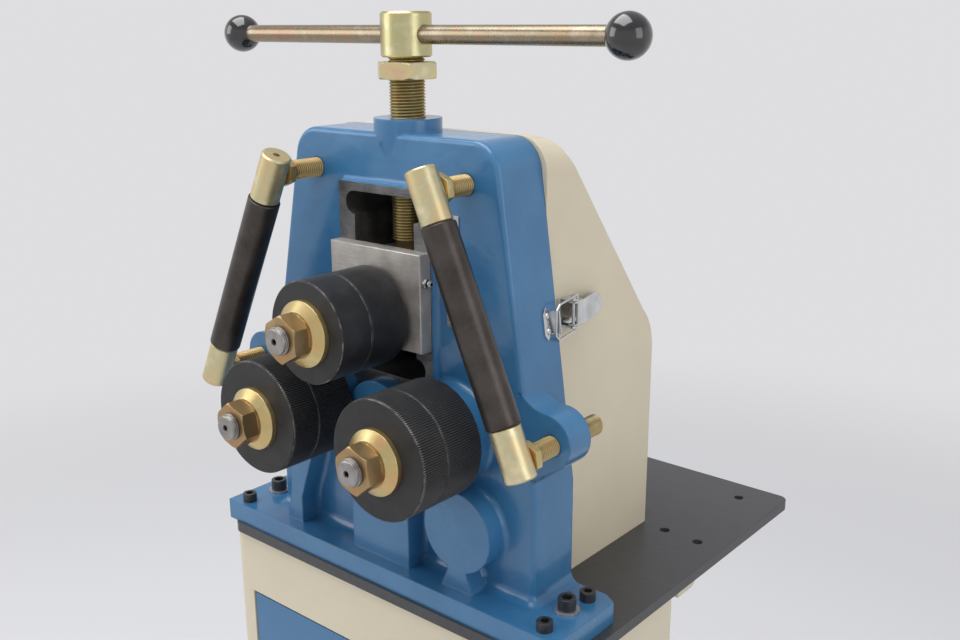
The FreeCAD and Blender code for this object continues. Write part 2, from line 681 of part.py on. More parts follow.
def top_shaft():
    """Nose, ring seat, shoulder and journal, with a turned head behind the keeper."""
    rear = WALL_REAR + SLIDING_GAP + KEEPER_T + 0.3
    profile = shaft_front_end(TOP_ROLL_FRONT)
    profile += [(TOP_ROLL_BACK, ROLL_BORE_R), (TOP_ROLL_BACK, JOURNAL_R + 5), (SLIDE_FRONT - 0.5, JOURNAL_R + 5),
                (SLIDE_FRONT - 0.5, JOURNAL_R), (rear, JOURNAL_R), (rear, JOURNAL_R + 5), (rear + 6, JOURNAL_R + 5),
                (rear + 6, 0)]
    return turned_y(0, TOP_SHAFT_Z, profile)


# Gears

def tooth_profile(module, teeth, backlash):
    """One tooth's (radius, half angle) points from root to tip, on an involute of 20 degrees."""
    pitch_r = module * teeth / 2
    base_r = pitch_r * math.cos(math.radians(20))
    tip_r = pitch_r + 0.8 * module
    root_r = pitch_r - 1.05 * module
    pitch_half = (math.pi * module / 2 - backlash) / (2 * pitch_r)
    inv_pitch = math.tan(math.radians(20)) - math.radians(20)
    points = []
    start_r = max(base_r, root_r)
    for step in range(FLANK_POINTS):
        r = start_r + (tip_r - start_r) * step / (FLANK_POINTS - 1)
        roll = math.acos(min(1.0, base_r / r))
        points.append((r, pitch_half + inv_pitch - (math.tan(roll) - roll)))
    if root_r < start_r - 0.05:
        points.insert(0, (root_r, points[0][1]))
    return points


def gear(x, z, module, teeth, y0, y1, tooth_angle, bore_r):
    """A spur gear along Y with one tooth centred on tooth_angle, in degrees from +X to +Z."""
    flank = tooth_profile(module, teeth, BACKLASH)
    corners = []
    for i in range(teeth):
        middle = math.radians(tooth_angle) + 2 * math.pi * i / teeth
        for r, half in flank:
            corners.append(V(x + r * math.cos(middle - half), y0, z + r * math.sin(middle - half)))
        for r, half in reversed(flank):
            corners.append(V(x + r * math.cos(middle + half), y0, z + r * math.sin(middle + half)))
    blank = Part.Face(Part.makePolygon(corners + corners[:1])).extrude(V(0, y1 - y0, 0))
    if bore_r > 0:
        blank = blank.cut(rod_y(x, z, bore_r, y0 - 1, y1 + 1))
    return blank


def roll_gear(x):
    """The gear on a lower shaft; its gap faces the idler."""
    towards_idler = 180.0 if x > 0 else 0.0
    half_pitch = 180.0 / ROLL_TEETH
    wheel = gear(x, SHAFT_Z, MODULE_ROLLS, ROLL_TEETH, GEAR_FRONT, GEAR_REAR, towards_idler + half_pitch, GEAR_BORE_R)
    recess = turned_y(x, SHAFT_Z, [(GEAR_REAR - 4, 22), (GEAR_REAR - 4, 38), (GEAR_REAR + 1, 39), (GEAR_REAR + 1, 21)])
    return wheel.cut(recess)


def mesh_angle():
    """Direction from the bull gear to the drive pinion, in degrees."""
    return math.degrees(math.atan2(PINION_Z - SHAFT_Z, PINION_X))


def idler_shaft():
    """The shaft in the middle bushes, cut with the idler's own teeth."""
    teeth = gear(0, SHAFT_Z, MODULE_ROLLS, IDLER_TEETH, GEAR_FRONT, GEAR_REAR, 0.0, 0.0)
    profile = [(31, 0), (31, IDLER_JOURNAL_R - 1), (32, IDLER_JOURNAL_R), (GEAR_FRONT - 2, IDLER_JOURNAL_R),
               (GEAR_FRONT - 2, 20), (BULL_FRONT, 20), (BULL_FRONT, BULL_BORE_R), (BULL_REAR + 4, BULL_BORE_R),
               (BULL_REAR + 4, 0)]
    return teeth.fuse(turned_y(0, SHAFT_Z, profile))


def bull_gear():
    """The large driven wheel: rim, hub and six round lightening holes."""
    wheel = gear(0, SHAFT_Z, MODULE_DRIVE, BULL_TEETH, BULL_FRONT, BULL_REAR, mesh_angle(), BULL_BORE_R)
    tools = []
    for i in range(6):
        angle = math.radians(60 * i)
        tools.append(rod_y(66 * math.cos(angle), SHAFT_Z + 66 * math.sin(angle), 21, BULL_FRONT - 1, BULL_REAR + 1))
    return wheel.cut(tools)


def drive_pinion():
    """The pinion shaft from its front bush to the gearbox."""
    half_pitch = 180.0 / PINION_TEETH
    teeth = gear(PINION_X, PINION_Z, MODULE_DRIVE, PINION_TEETH, BULL_FRONT - 2, BULL_REAR + 2,
                 mesh_angle() + 180.0 + half_pitch, 0.0)
    profile = [(31, 0), (31, IDLER_JOURNAL_R - 1), (32, IDLER_JOURNAL_R), (WALL_REAR + 4, IDLER_JOURNAL_R),
               (WALL_REAR + 4, 18), (BULL_REAR + 6, 18), (BULL_REAR + 6, IDLER_JOURNAL_R),
               (GEARBOX_Y1 + 4, IDLER_JOURNAL_R), (GEARBOX_Y1 + 4, 0)]
    return teeth.fuse(turned_y(PINION_X, PINION_Z, profile))


# Gearbox and motor


def gearbox():
    """A worm gearbox on its foot, with round output covers and a square worm housing."""
    case = rounded_rect_xz(GEARBOX_X0, GEARBOX_X1, 14, WORM_Z + 38, 18, GEARBOX_Y0 + 12, GEARBOX_Y1 - 12)
    foot = box(GEARBOX_X0 - 8, GEARBOX_X1, GEARBOX_Y0 + 6, GEARBOX_Y1 - 6, 0, 14)
    cover = rod_y(PINION_X, PINION_Z, 34, GEARBOX_Y0, GEARBOX_Y1)
    nose = rod_x(MOTOR_Y, WORM_Z, 34, GEARBOX_X0 - 12, GEARBOX_X0 + 4)
    bore = rod_y(PINION_X, PINION_Z, IDLER_JOURNAL_R + RUNNING_GAP, GEARBOX_Y0 - 1, GEARBOX_Y1 + 1)
    return fuse_all([case, foot, cover, nose]).cut(bore)


def drive_motor():
    """Flange, ribbed body, terminal box and fan cowl of the motor, lying across the machine."""
    right = GEARBOX_X0 - 12
    left = -96.0
    parts = [rod_x(MOTOR_Y, WORM_Z, 62, right - 10, right), rod_x(MOTOR_Y, WORM_Z, MOTOR_R - 6, left, right - 9),
             fan_cowl()]
    for i in range(16):
        fin = box(left + 6, right - 12, -1.5, 1.5, 0, MOTOR_R)
        fin.rotate(V(0, 0, 0), X_AXIS, 360 / 16 * i + 11.25)
        parts.append(moved(fin, 0, MOTOR_Y, WORM_Z))
    parts.append(rounded_rect_xy(-48, 22, MOTOR_Y - 34, MOTOR_Y + 34, 6, WORM_Z + 40, WORM_Z + 82))
    return fuse_all(parts)


def fan_cowl():
    """The pressed cowl over the motor's fan, with its air slots."""
    x0 = -133.0
    x1 = -90.0
    outer = rod_x(MOTOR_Y, WORM_Z, MOTOR_R + 2, x0, x1)
    outer = outer.makeFillet(8, [e for e in outer.Edges if abs(e.CenterOfMass.x - x0) < 0.01])
    slots = [box(x0 - 1, x0 + 4, MOTOR_Y - 30, MOTOR_Y + 30, WORM_Z + 12 * i - 3, WORM_Z + 12 * i + 3)
             for i in range(-2, 3)]
    return outer.cut(slots)


# Gear cover and its latches

def cover_profile(inset):
    """The cover's side outline: upright back, sloped shoulder and round top edge."""
    rear = COVER_REAR - inset
    top = HEAD_TOP - inset
    slope_low = V(0, 268 - inset, 264 - inset * 0.3)
    slope_high = V(0, 122 - inset, 449 - inset * 0.3)
    back_high = V(0, rear, 212)
    back_bend = V(0, rear - 5, 240)
    top_bend = V(0, 112 - inset * 0.7, top - 5)
    top_end = V(0, 98 - inset * 0.3, top)
    front_top = V(0, COVER_FRONT, top)
    front_low = V(0, COVER_FRONT, 0)
    back_low = V(0, rear, 0)
    return Part.Wire([Part.makeLine(front_low, back_low), Part.makeLine(back_low, back_high),
                      Part.Arc(back_high, back_bend, slope_low).toShape(), Part.makeLine(slope_low, slope_high),
                      Part.Arc(slope_high, top_bend, top_end).toShape(), Part.makeLine(top_end, front_top),
                      Part.makeLine(front_top, front_low)])


def cover_block(inset):
    """The cover's outer or inner volume, with its top shoulders rounded."""
    half = COVER_HALF - inset
    face = Part.Face(cover_profile(inset))
    block = face.extrude(V(2 * half, 0, 0))
    block.translate(V(-half, 0, 0))
    r = COVER_SHOULDER_R - inset
    top = HEAD_TOP - inset
    profile = [V(-half, 0, 0), V(half, 0, 0), V(half, 0, top - r), V(half - r, 0, top), V(-half + r, 0, top),
               V(-half, 0, top - r)]
    right_arc = Part.Arc(profile[2], V(half - r * (1 - math.sqrt(0.5)), 0, top - r * (1 - math.sqrt(0.5))), profile[3])
    left_arc = Part.Arc(profile[4], V(-half + r * (1 - math.sqrt(0.5)), 0, top - r * (1 - math.sqrt(0.5))), profile[5])
    front = Part.Wire([Part.makeLine(profile[0], profile[1]), Part.makeLine(profile[1], profile[2]),
                       right_arc.toShape(), Part.makeLine(profile[3], profile[4]), left_arc.toShape(),
                       Part.makeLine(profile[5], profile[0])])
    tunnel = Part.Face(front).extrude(V(0, COVER_REAR + 10, 0))
    return block.common(tunnel)


def gear_cover():
    """The folded sheet cover: a return lip round its mouth at the front, open at the bottom."""
    lip_back = COVER_FRONT + SHEET_T
    inside = box(-COVER_HALF, COVER_HALF, lip_back, COVER_REAR, -1, HEAD_TOP)
    front = box(-COVER_HALF, COVER_HALF, COVER_FRONT - 1, lip_back + 1, -1, HEAD_TOP)
    underside = box(-COVER_HALF + SHEET_T, COVER_HALF - SHEET_T, lip_back, COVER_REAR - SHEET_T, -1, 1)
    threshold = box(-COVER_HALF + COVER_LIP, COVER_HALF - COVER_LIP, COVER_FRONT - 1, lip_back + 1, -1, 1)
    return cover_block(0.0).cut([cover_block(SHEET_T).common(inside), cover_block(COVER_LIP).common(front),
                                 underside, threshold])


def latch_strike(side):
    """The riveted strike plate of one side, drawn at the right, with its hook at the back."""
    x = wall_reach(LATCH_Z, side)
    rear = HOOK_Y + 3.3
    half = [(rear, 11), (RIVET_Y + 3, 11), (RIVET_Y - 2.5, 16), (RIVET_Y - 6.5, 10)]
    corners = [V(x, y, LATCH_Z + z) for y, z in half] + [V(x, y, LATCH_Z - z) for y, z in reversed(half)]
    plate = Part.Face(Part.makePolygon(corners + corners[:1])).extrude(V(STRIKE_T, 0, 0))
    hook = box(x, x + HOOK_DEPTH, HOOK_Y + 1.8, rear, LATCH_Z - 11, LATCH_Z + 11)
    solids = [plate, hook]
    lean = math.degrees(math.atan2(wall_reach(LATCH_Z, side) - wall_reach(HEAD_TOP, side), HEAD_TOP - LATCH_Z))
    for z in (LATCH_Z - 7.5, LATCH_Z + 7.5):
        solids.append(turned_x(x, RIVET_Y, z, [(1.5, 0), (1.5, 3.4), (2.6, 2.8), (3.2, 0)]))
    whole = fuse_all(solids)
    whole.rotate(V(x, RIVET_Y, LATCH_Z), Y_AXIS, -lean)
    return whole.cut(head_side_block(side))


def latch_strikes():
    return Part.makeCompound([latch_strike(1), mirrored(latch_strike(-1))])


def head_side_block(side):
    """A leaning side as a plain block, drawn at the right, to trim what is riveted on it."""
    z0 = LATCH_Z - 40
    z1 = LATCH_Z + 40
    return plate_xz([(100, z0), (wall_reach(z0, side), z0), (wall_reach(z1, side), z1), (100, z1)],
                    WALL_FRONT, WALL_REAR)


def turned_x(x, y, z, profile):
    """A solid of revolution about an X axis, from (x offset, radius) points."""
    corners = [V(x + dx, y, z + r) for dx, r in profile]
    corners.append(V(x + profile[0][0], y, z))
    face = Part.Face(Part.makePolygon(corners + corners[:1]))
    return face.revolve(V(x, y, z), X_AXIS, 360)


def latch_bases():
    """The channel on each side of the cover that holds the lever's pin."""
    floor = box(BASE_X, BASE_X + BASE_T, LATCH_PIVOT_Y - 14, LATCH_PIVOT_Y + 16, LATCH_Z - 15, LATCH_Z + 15)
    solids = [floor]
    for z0, z1 in ((LATCH_Z - 15, LATCH_Z - 13), (LATCH_Z + 13, LATCH_Z + 15)):
        solids.append(box(BASE_X, PIVOT_X, LATCH_PIVOT_Y - CHEEK_R, LATCH_PIVOT_Y + CHEEK_R, z0, z1))
        solids.append(rod_z(PIVOT_X, LATCH_PIVOT_Y, CHEEK_R, z0, z1))
    pin = rod_z(PIVOT_X, LATCH_PIVOT_Y, 1.8, LATCH_Z - 16, LATCH_Z + 16)
    solids.append(pin)
    base = fuse_all(solids)
    return Part.makeCompound([base, mirrored(base)])


def latch_lever():
    """The lever: a plate that slopes to the cover, bent out at its tip, with two cheeks for pin and bail."""
    z0 = LATCH_Z - 12.6
    z1 = LATCH_Z + 12.6
    inner = [(2.6, 1), (2.6, 12), (-5.5, LEVER_BEND), (-3.5, LEVER_END)]
    path = inner + [(x + 1.8, y) for x, y in reversed(inner)]
    corners = [V(PIVOT_X + x, LATCH_PIVOT_Y + y, z0 + 0.2) for x, y in path]
    blade = Part.Face(Part.makePolygon(corners + corners[:1])).extrude(V(0, 0, z1 - z0 - 0.4))
    rounded_end = rod_x(LATCH_PIVOT_Y + LEVER_END - 13, LATCH_Z, 13, PIVOT_X - 8, PIVOT_X + 6)
    shank = box(PIVOT_X - 8, PIVOT_X + 6, LATCH_PIVOT_Y, LATCH_PIVOT_Y + LEVER_END - 13, z0, z1)
    solids = [blade.common(rounded_end.fuse(shank))]
    for a, b in ((z0, z0 + 2), (z1 - 2, z1)):
        solids.append(box(PIVOT_X - 3, PIVOT_X + 4.4, LATCH_PIVOT_Y - 4, LATCH_PIVOT_Y + 12, a, b))
    lever = fuse_all(solids)
    holes = [rod_z(PIVOT_X, LATCH_PIVOT_Y, 1.85, z0 - 1, z1 + 1),
             rod_z(PIVOT_X, LATCH_PIVOT_Y + BAIL_ARM, 1.25, z0 - 1, z1 + 1)]
    return lever.cut(holes)


def latch_bail(side):
    """One side's wire loop, drawn at the right: two long legs, a front bar in the hook and turned-in ends."""
    r = BAIL_R
    y_back = LATCH_PIVOT_Y + BAIL_ARM
    z_leg = BAIL_HALF
    lean_room = 1.5 * (wall_reach(LATCH_Z - BAIL_HALF, side) - wall_reach(LATCH_Z, side))
    x_back = PIVOT_X
    x_front = wall_reach(LATCH_Z, side) + STRIKE_T + r + lean_room
    bend = 5.0
    solids = []
    for side in (-1, 1):
        z = LATCH_Z + side * z_leg
        end = V(x_back, y_back, LATCH_Z + side * 10.8)
        corner = V(x_back, y_back, z)
        front = V(x_front, HOOK_Y + bend, z)
        solids.append(Part.makeCylinder(r, abs(z - end.z), V(end.x, end.y, min(z, end.z)), Z_AXIS))
        solids.append(Part.makeSphere(r, corner))
        run = front - corner
        solids.append(Part.makeCylinder(r, run.Length, corner, run))
        solids.append(Part.makeSphere(r, front))
        elbow = V(x_front, HOOK_Y, LATCH_Z + side * (z_leg - bend))
        turn = elbow - front
        solids.append(Part.makeCylinder(r, turn.Length, front, turn))
        solids.append(Part.makeSphere(r, elbow))
    bar = rod_z(x_front, HOOK_Y, r, LATCH_Z - z_leg + bend, LATCH_Z + z_leg - bend)
    return fuse_all(solids + [bar])


# Guides

class Guide:
    """One inclined guide, drawn at the right of the machine."""

    def __init__(self, y, low_x, low_z):
        self.top = V(GUIDE_TOP_X, y, GUIDE_TOP_Z)
        self.low = V(low_x, y, low_z)
        self.length = (self.low - self.top).Length
        self.direction = (self.low - self.top) * (1 / self.length)
        self.nut_face = y + EYE_R - SPOT_FACE

    def rod(self, r, a0, a1):
        """A cylinder on the guide's axis, measured down from the upper stud."""
        return Part.makeCylinder(r, a1 - a0, self.top + self.direction * a0, self.direction)

    def eye(self, a0, a1):
        """One of the two end pieces, chamfered at both rims."""
        shape = self.rod(EYE_R, a0, a1)
        return shape.makeChamfer(1.5, [e for e in shape.Edges if len(e.Vertexes) == 1])

    def pin(self):
        """Upper eye with the pin, and the lower eye on its foot, bored and spot-faced for the studs."""
        foot = self.length - STUD_R - 4
        upper = self.eye(-EYE_ABOVE, SLEEVE_START - 0.3).fuse(self.rod(PIN_R, SLEEVE_START - 2, foot))
        lower = self.eye(SLEEVE_END + 0.3, self.length + EYE_BELOW).cut(self.rod(PIN_R, SLEEVE_END - 2, foot))
        key = self.rod(3.5, -EYE_ABOVE - 1, -EYE_ABOVE + 7)
        cross = []
        for end in (self.top, self.low):
            cross.append(rod_y(end.x, end.z, STUD_R, end.y - 2, end.y + EYE_R + 12))
            cross.append(rod_y(end.x, end.z, STUD_NUT_AF / 2 + 3, self.nut_face, end.y + EYE_R + 12))
        return Part.makeCompound([upper.removeSplitter().cut([key] + cross), lower.cut(cross)])

    def sleeve(self):
        shape = self.rod(SLEEVE_R, SLEEVE_START, SLEEVE_END)
        shape = shape.makeChamfer(1.0, [e for e in shape.Edges if len(e.Vertexes) == 1])
        return shape.cut(self.rod(PIN_R + RUNNING_GAP, SLEEVE_START - 1, SLEEVE_END + 1))

    def studs(self):
        """The threaded studs that carry the guide."""
        solids = []
        for end, rear in ((self.top, UPPER_STUD_END), (self.low, LOWER_STUD_END)):
            solids.append(turned_y(end.x, end.z, [(end.y - 2, 0), (end.y - 2, STUD_R), (rear - 1.5, STUD_R),
                                                  (rear, STUD_R - 1.5), (rear, 0)]))
        return Part.makeCompound(solids)

    def nuts(self):
        """Lock nuts on the studs, tight against the eyes' spot faces."""
        solids = []
        face = self.nut_face
        for end in (self.top, self.low):
            nut = aim_y(hexagon(STUD_NUT_AF, STUD_NUT_T, 1.5), end.x, face + STUD_NUT_T, end.z, 8)
            solids.append(nut.cut(rod_y(end.x, end.z, STUD_R, face - 1, face + STUD_NUT_T + 1)))
        return Part.makeCompound(solids)


# Table plate and cabinet


def table_plate():
    """The black plate with round corners, head bolts' holes and free fixing holes."""
    plate = rounded_rect_xy(PLATE_LEFT, PLATE_RIGHT, PLATE_FRONT, PLATE_REAR, 12, -PLATE_T, 0)
    tools = []
    for side in (-1, 1):
        tools.append(rod_z(side * LARGE_BOLT_X, LARGE_BOLT_Y, LARGE_BOLT_R, -PLATE_T - 1, 1))
        for y in SMALL_BOLT_YS:
            tools.append(rod_z(side * SMALL_BOLT_X, y, SMALL_BOLT_R, -PLATE_T - 1, 1))
        for x, y in PLATE_HOLES:
            tools.append(rod_z(side * x, y, PLATE_HOLE_R, -PLATE_T - 1, 1))
    return plate.cut(tools)


def cabinet_shell():
    """The folded cabinet: four walls, rims at top and bottom, and the door's reveal."""
    low = FLOOR + FOOT_T
    high = -PLATE_T
    s = CAB_SHEET
    outer = rounded_rect_xy(-CAB_HALF, CAB_HALF, CAB_FRONT, CAB_REAR, CAB_EDGE_R, low, high)
    inner = rounded_rect_xy(-CAB_HALF + s, CAB_HALF - s, CAB_FRONT + s, CAB_REAR - s, CAB_EDGE_R - s,
                            low + s, high - s)
    mouth = rounded_rect_xy(-CAB_HALF + 34, CAB_HALF - 34, CAB_FRONT + 34, CAB_REAR - 34, 8, low - 1, high + 1)
    x = DOOR_HALF + DOOR_GAP
    z0 = DOOR_LOW - DOOR_GAP
    z1 = DOOR_TOP + DOOR_GAP
    reveal = box(-x - s, x + s, CAB_FRONT, CAB_FRONT + REVEAL_DEPTH, z0 - s, z1 + s)
    doorway = box(-x, x, CAB_FRONT - 1, CAB_FRONT + REVEAL_DEPTH + 1, z0, z1)
    gland_hole = rod_y(GLAND_X, GLAND_Z, 8, CAB_REAR - 5, CAB_REAR + 1)
    pin_holes = rod_z(DOOR_AXIS_X, DOOR_AXIS_Y, DOOR_PIN_R, z0 - s - 1, z1 + s + 1)
    slots = []
    for i in range(VENT_SLOTS):
        z = VENT_Z + VENT_PITCH * i
        slots.append(box(-CAB_HALF - 1, -CAB_HALF + 5, 60, 140, z, z + 5))
        slots.append(box(CAB_HALF - 5, CAB_HALF + 1, 60, 140, z, z + 5))
    return outer.cut([inner, mouth]).fuse(reveal).cut([doorway, gland_hole, pin_holes] + slots)


def foot_plates():
    """Four floor plates under the cabinet's corners, each with its anchor hole."""
    feet = []
    for sx in (-1, 1):
        for sy in (-1, 1):
            x0, x1 = sorted((sx * 196, sx * 276))
            y = -HEAD_Y + sy * FOOT_HOLE_Y
            foot = rounded_rect_xy(x0, x1, y - 26, y + 26, 9, FLOOR, FLOOR + FOOT_T)
            feet.append(foot.cut(rod_z(sx * FOOT_HOLE_X, y, FOOT_HOLE_R, FLOOR - 1, FLOOR + FOOT_T + 1)))
    return Part.makeCompound(feet)


def plate_rails():
    """The two rails that stiffen the plate where it overhangs the cabinet, and their screws."""
    y0 = CAB_REAR
    y1 = 243.0
    rail = box(RAIL_X - 4, RAIL_X + 4, y0, y1, -PLATE_T - 16, -PLATE_T)
    lower_end = [e for e in rail.Edges if abs(e.tangentAt(0).x) > 0.9 and e.CenterOfMass.y > y1 - 1
                 and e.CenterOfMass.z < -PLATE_T - 15]
    rail = rail.makeFillet(11, lower_end)
    solids = [rail, moved(rail, 2 * (RAIL_MIDDLE - RAIL_X), 0, 0)]
    for x in (RAIL_X, 2 * RAIL_MIDDLE - RAIL_X):
        solids.append(moved(hexagon(13, 5.5, 0.8), x, RAIL_BOLT_Y, -PLATE_T - 5.5))
    return Part.makeCompound(solids)


def cabinet_door():
    """The inset door: a shallow folded pan, bored for its hinge pins and its lock."""
    s = CAB_SHEET
    pan = rounded_rect_xz(-DOOR_HALF, DOOR_HALF, DOOR_LOW, DOOR_TOP, 2.5, DOOR_FRONT, DOOR_FRONT + DOOR_DEPTH)
    hollow = box(-DOOR_HALF + s, DOOR_HALF - s, DOOR_FRONT + s, DOOR_FRONT + DOOR_DEPTH + 1, DOOR_LOW + s, DOOR_TOP - s)
    pin_way = rod_z(DOOR_AXIS_X, DOOR_AXIS_Y, DOOR_PIN_R + RUNNING_GAP, DOOR_LOW - 1, DOOR_TOP + 1)
    lock_way = rod_y(LOCK_X, LOCK_Z, 6 + RUNNING_GAP, DOOR_FRONT - 1, DOOR_FRONT + 5)
    return pan.cut([hollow, pin_way, lock_way])


def door_hinge_pins():
    """Upper and lower hinge pins on brackets behind the door's reveal."""
    pins = []
    for level, up in ((DOOR_TOP + DOOR_GAP, 1), (DOOR_LOW - DOOR_GAP, -1)):
        z0, z1 = sorted((level + up * CAB_SHEET, level + up * (CAB_SHEET + 3)))
        arm = box(DOOR_AXIS_X - 10, DOOR_AXIS_X + 10, CAB_FRONT + CAB_SHEET, CAB_FRONT + 16, z0, z1)
        p0, p1 = sorted((level + up * (CAB_SHEET + 3), level - up * 12))
        pins.append(arm.fuse(rod_z(DOOR_AXIS_X, DOOR_AXIS_Y, DOOR_PIN_R, p0, p1)))
    return Part.makeCompound(pins)


def door_lock():
    """A quarter-turn lock, drawn open: round head with its key slot, spindle and cam."""
    head = turned_y(LOCK_X, LOCK_Z, [(DOOR_FRONT - 2.5, 0), (DOOR_FRONT - 2.5, LOCK_R - 1), (DOOR_FRONT - 1.5, LOCK_R),
                                     (DOOR_FRONT - 0.1, LOCK_R), (DOOR_FRONT - 0.1, 0)])
    spindle = rod_y(LOCK_X, LOCK_Z, 6, DOOR_FRONT - 0.2, DOOR_FRONT + DOOR_DEPTH + 1)
    cam = rounded_rect_xz(LOCK_X - 7, LOCK_X + 7, LOCK_Z - 7, LOCK_Z + 36, 5,
                          DOOR_FRONT + DOOR_DEPTH, DOOR_FRONT + DOOR_DEPTH + 3)
    slot = box(LOCK_X - 1, LOCK_X + 1, DOOR_FRONT - 3, DOOR_FRONT - 1, LOCK_Z - 5, LOCK_Z + 5)
    return fuse_all([head, spindle, cam]).cut(slot)


def cable_gland():
    """The supply cable's gland in the cabinet's back."""
    y = CAB_REAR
    body = turned_y(GLAND_X, GLAND_Z, [(y - 10, 5), (y - 10, 8), (y, 8), (y + 5, 9), (y + 16, 9), (y + 22, 7), (y + 22, 5)])
    nut = aim_y(hexagon(24, 5, 1), GLAND_X, y + 5, GLAND_Z)
    nut = nut.cut(rod_y(GLAND_X, GLAND_Z, 7.5, y - 1, y + 6))
    return body.fuse(nut)


def write_stand():
    save("cabinet_shell", cabinet_shell())
    save("foot_plates", foot_plates())
    save("plate_rails", plate_rails())
    save("cable_gland", cable_gland())
    save("door_hinge_pins", door_hinge_pins())
    save("cabinet_door", cabinet_door())
    save("door_lock", door_lock())
    save("table_plate", table_plate())


def write_head():
    save("frame_casting", frame_casting())
    save("shaft_bushes", shaft_bushes())
    save("flange_bolts", flange_bolts())
    save("flange_bolt_washers", flange_bolt_washers())
    save("scale_rule", scale_rule())


def write_drive():
    save("gearbox", gearbox())
    save("drive_motor", drive_motor())
    save("drive_pinion", drive_pinion())
    save("bull_gear", bull_gear())
    save("idler_shaft", idler_shaft())


def write_cover():
    save("gear_cover", gear_cover())
    save("latch_strikes", latch_strikes())
    save("latch_bases", latch_bases())
    save("latch_lever_right", latch_lever())
    save("latch_lever_left", mirrored(latch_lever()))
    save("latch_bail_right", latch_bail(1))
    save("latch_bail_left", mirrored(latch_bail(-1)))


def write_slide():
    save("slide_plate", slide_plate())
    save("slide_block", slide_block())
    save("slide_keeper", slide_keeper())
    save("top_bushes", top_bushes())
    save("grease_nipple", grease_nipple())
    save("feed_screw", feed_screw())
    save("screw_lock_nut", screw_lock_nut())
    save("handle_hub", handle_hub())
    save("handle_bar", handle_bar())
    save("handle_balls", handle_balls())


def write_rolls():
    for side, x in (("left", -SHAFT_X), ("right", SHAFT_X)):
        save(side + "_shaft", lower_shaft(x))
        save(side + "_front_ring", ring(x, SHAFT_Z, ROLL_R, ROLL_FRONT, ROLL_SEAM))
        save(side + "_rear_ring", ring(x, SHAFT_Z, ROLL_R, ROLL_SEAM, ROLL_BACK))
        save(side + "_flange_washer", flange_washer(x, SHAFT_Z, ROLL_FRONT))
        save(side + "_shaft_nut", shaft_nut(x, SHAFT_Z, ROLL_FRONT, 10))
        save(side + "_roll_gear", roll_gear(x))
    save("top_shaft", top_shaft())
    save("top_front_ring", ring(0, TOP_SHAFT_Z, TOP_ROLL_R, TOP_ROLL_FRONT, TOP_ROLL_SEAM))
    save("top_rear_ring", ring(0, TOP_SHAFT_Z, TOP_ROLL_R, TOP_ROLL_SEAM, TOP_ROLL_BACK))
    save("top_flange_washer", flange_washer(0, TOP_SHAFT_Z, TOP_ROLL_FRONT))
    save("top_shaft_nut", shaft_nut(0, TOP_SHAFT_Z, TOP_ROLL_FRONT, 0))


def write_guides():
    right = Guide(RIGHT_GUIDE_Y, RIGHT_LOW_X, RIGHT_LOW_Z)
    left = Guide(LEFT_GUIDE_Y, LEFT_LOW_X, LEFT_LOW_Z)
    save("right_guide_pin", right.pin())
    save("right_guide_sleeve", right.sleeve())
    save("right_guide_studs", right.studs())
    save("right_guide_nuts", right.nuts())
    save("left_guide_pin", mirrored(left.pin()))
    save("left_guide_sleeve", mirrored(left.sleeve()))
    save("left_guide_studs", mirrored(left.studs()))
    save("left_guide_nuts", mirrored(left.nuts()))


os.makedirs("parts", exist_ok=True)
write_stand()
write_head()
write_drive()
write_cover()
write_slide()
write_rolls()
write_guides()
print("joint heights from the floor: rolls", TABLE_TOP + SHAFT_Z, "top roll", TABLE_TOP + TOP_SHAFT_Z)
print("pinion axis", PINION_X, HEAD_Y, TABLE_TOP + PINION_Z)
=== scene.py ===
# %% [markdown]
# # Dressing a ring roller
# A ring roller bends bars and tubes between three rolls. The machine comes into this file
# as a frame of solid nodes with their true sizes. Here each node gets its finish, and the
# fine forms that show in a close look are modelled over it: knurls, threads, the shafts'
# noses, the grease nipple and the casting's fillets. Everything is in metres, with +Z up
# and the operator at -Y.

# %% Load the frame
import json
import math

import bmesh
import bpy
from mathutils import Matrix, Vector

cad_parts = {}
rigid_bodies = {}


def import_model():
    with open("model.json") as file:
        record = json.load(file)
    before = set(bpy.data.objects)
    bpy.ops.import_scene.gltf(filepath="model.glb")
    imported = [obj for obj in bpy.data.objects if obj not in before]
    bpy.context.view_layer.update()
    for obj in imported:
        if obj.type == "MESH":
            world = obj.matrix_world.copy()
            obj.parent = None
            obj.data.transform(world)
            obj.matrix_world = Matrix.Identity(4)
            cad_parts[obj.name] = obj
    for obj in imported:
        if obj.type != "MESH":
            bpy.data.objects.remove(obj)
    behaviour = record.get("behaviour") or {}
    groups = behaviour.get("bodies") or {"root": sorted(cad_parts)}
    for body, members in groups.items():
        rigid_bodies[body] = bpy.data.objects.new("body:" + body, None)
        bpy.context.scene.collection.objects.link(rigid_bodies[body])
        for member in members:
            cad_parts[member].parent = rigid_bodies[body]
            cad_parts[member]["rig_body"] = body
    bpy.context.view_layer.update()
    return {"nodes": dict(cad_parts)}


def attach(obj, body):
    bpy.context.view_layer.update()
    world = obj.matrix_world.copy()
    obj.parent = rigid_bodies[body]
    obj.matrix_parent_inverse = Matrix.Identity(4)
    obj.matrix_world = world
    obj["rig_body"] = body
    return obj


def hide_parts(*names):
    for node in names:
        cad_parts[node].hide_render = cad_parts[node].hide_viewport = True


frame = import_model()
nodes = frame["nodes"]

# %% [markdown]
# ## The camera
# The view is that of someone standing at the machine's right front corner. A long lens
# keeps the machine's uprights almost straight. The place and the three turns come from
# fitting the rolls' circles and the plate's edges, and a matrix sets all of them at once,
# which is steadier than turning the camera by hand.

# %% Place the camera
EYE = Vector((0.73986, -0.80488, 1.29044))
YAW = math.radians(40.28)
PITCH = math.radians(15.74)
ROLL = math.radians(-0.28)
FOCAL_LENGTH = 39.906
SENSOR_WIDTH = 36.0

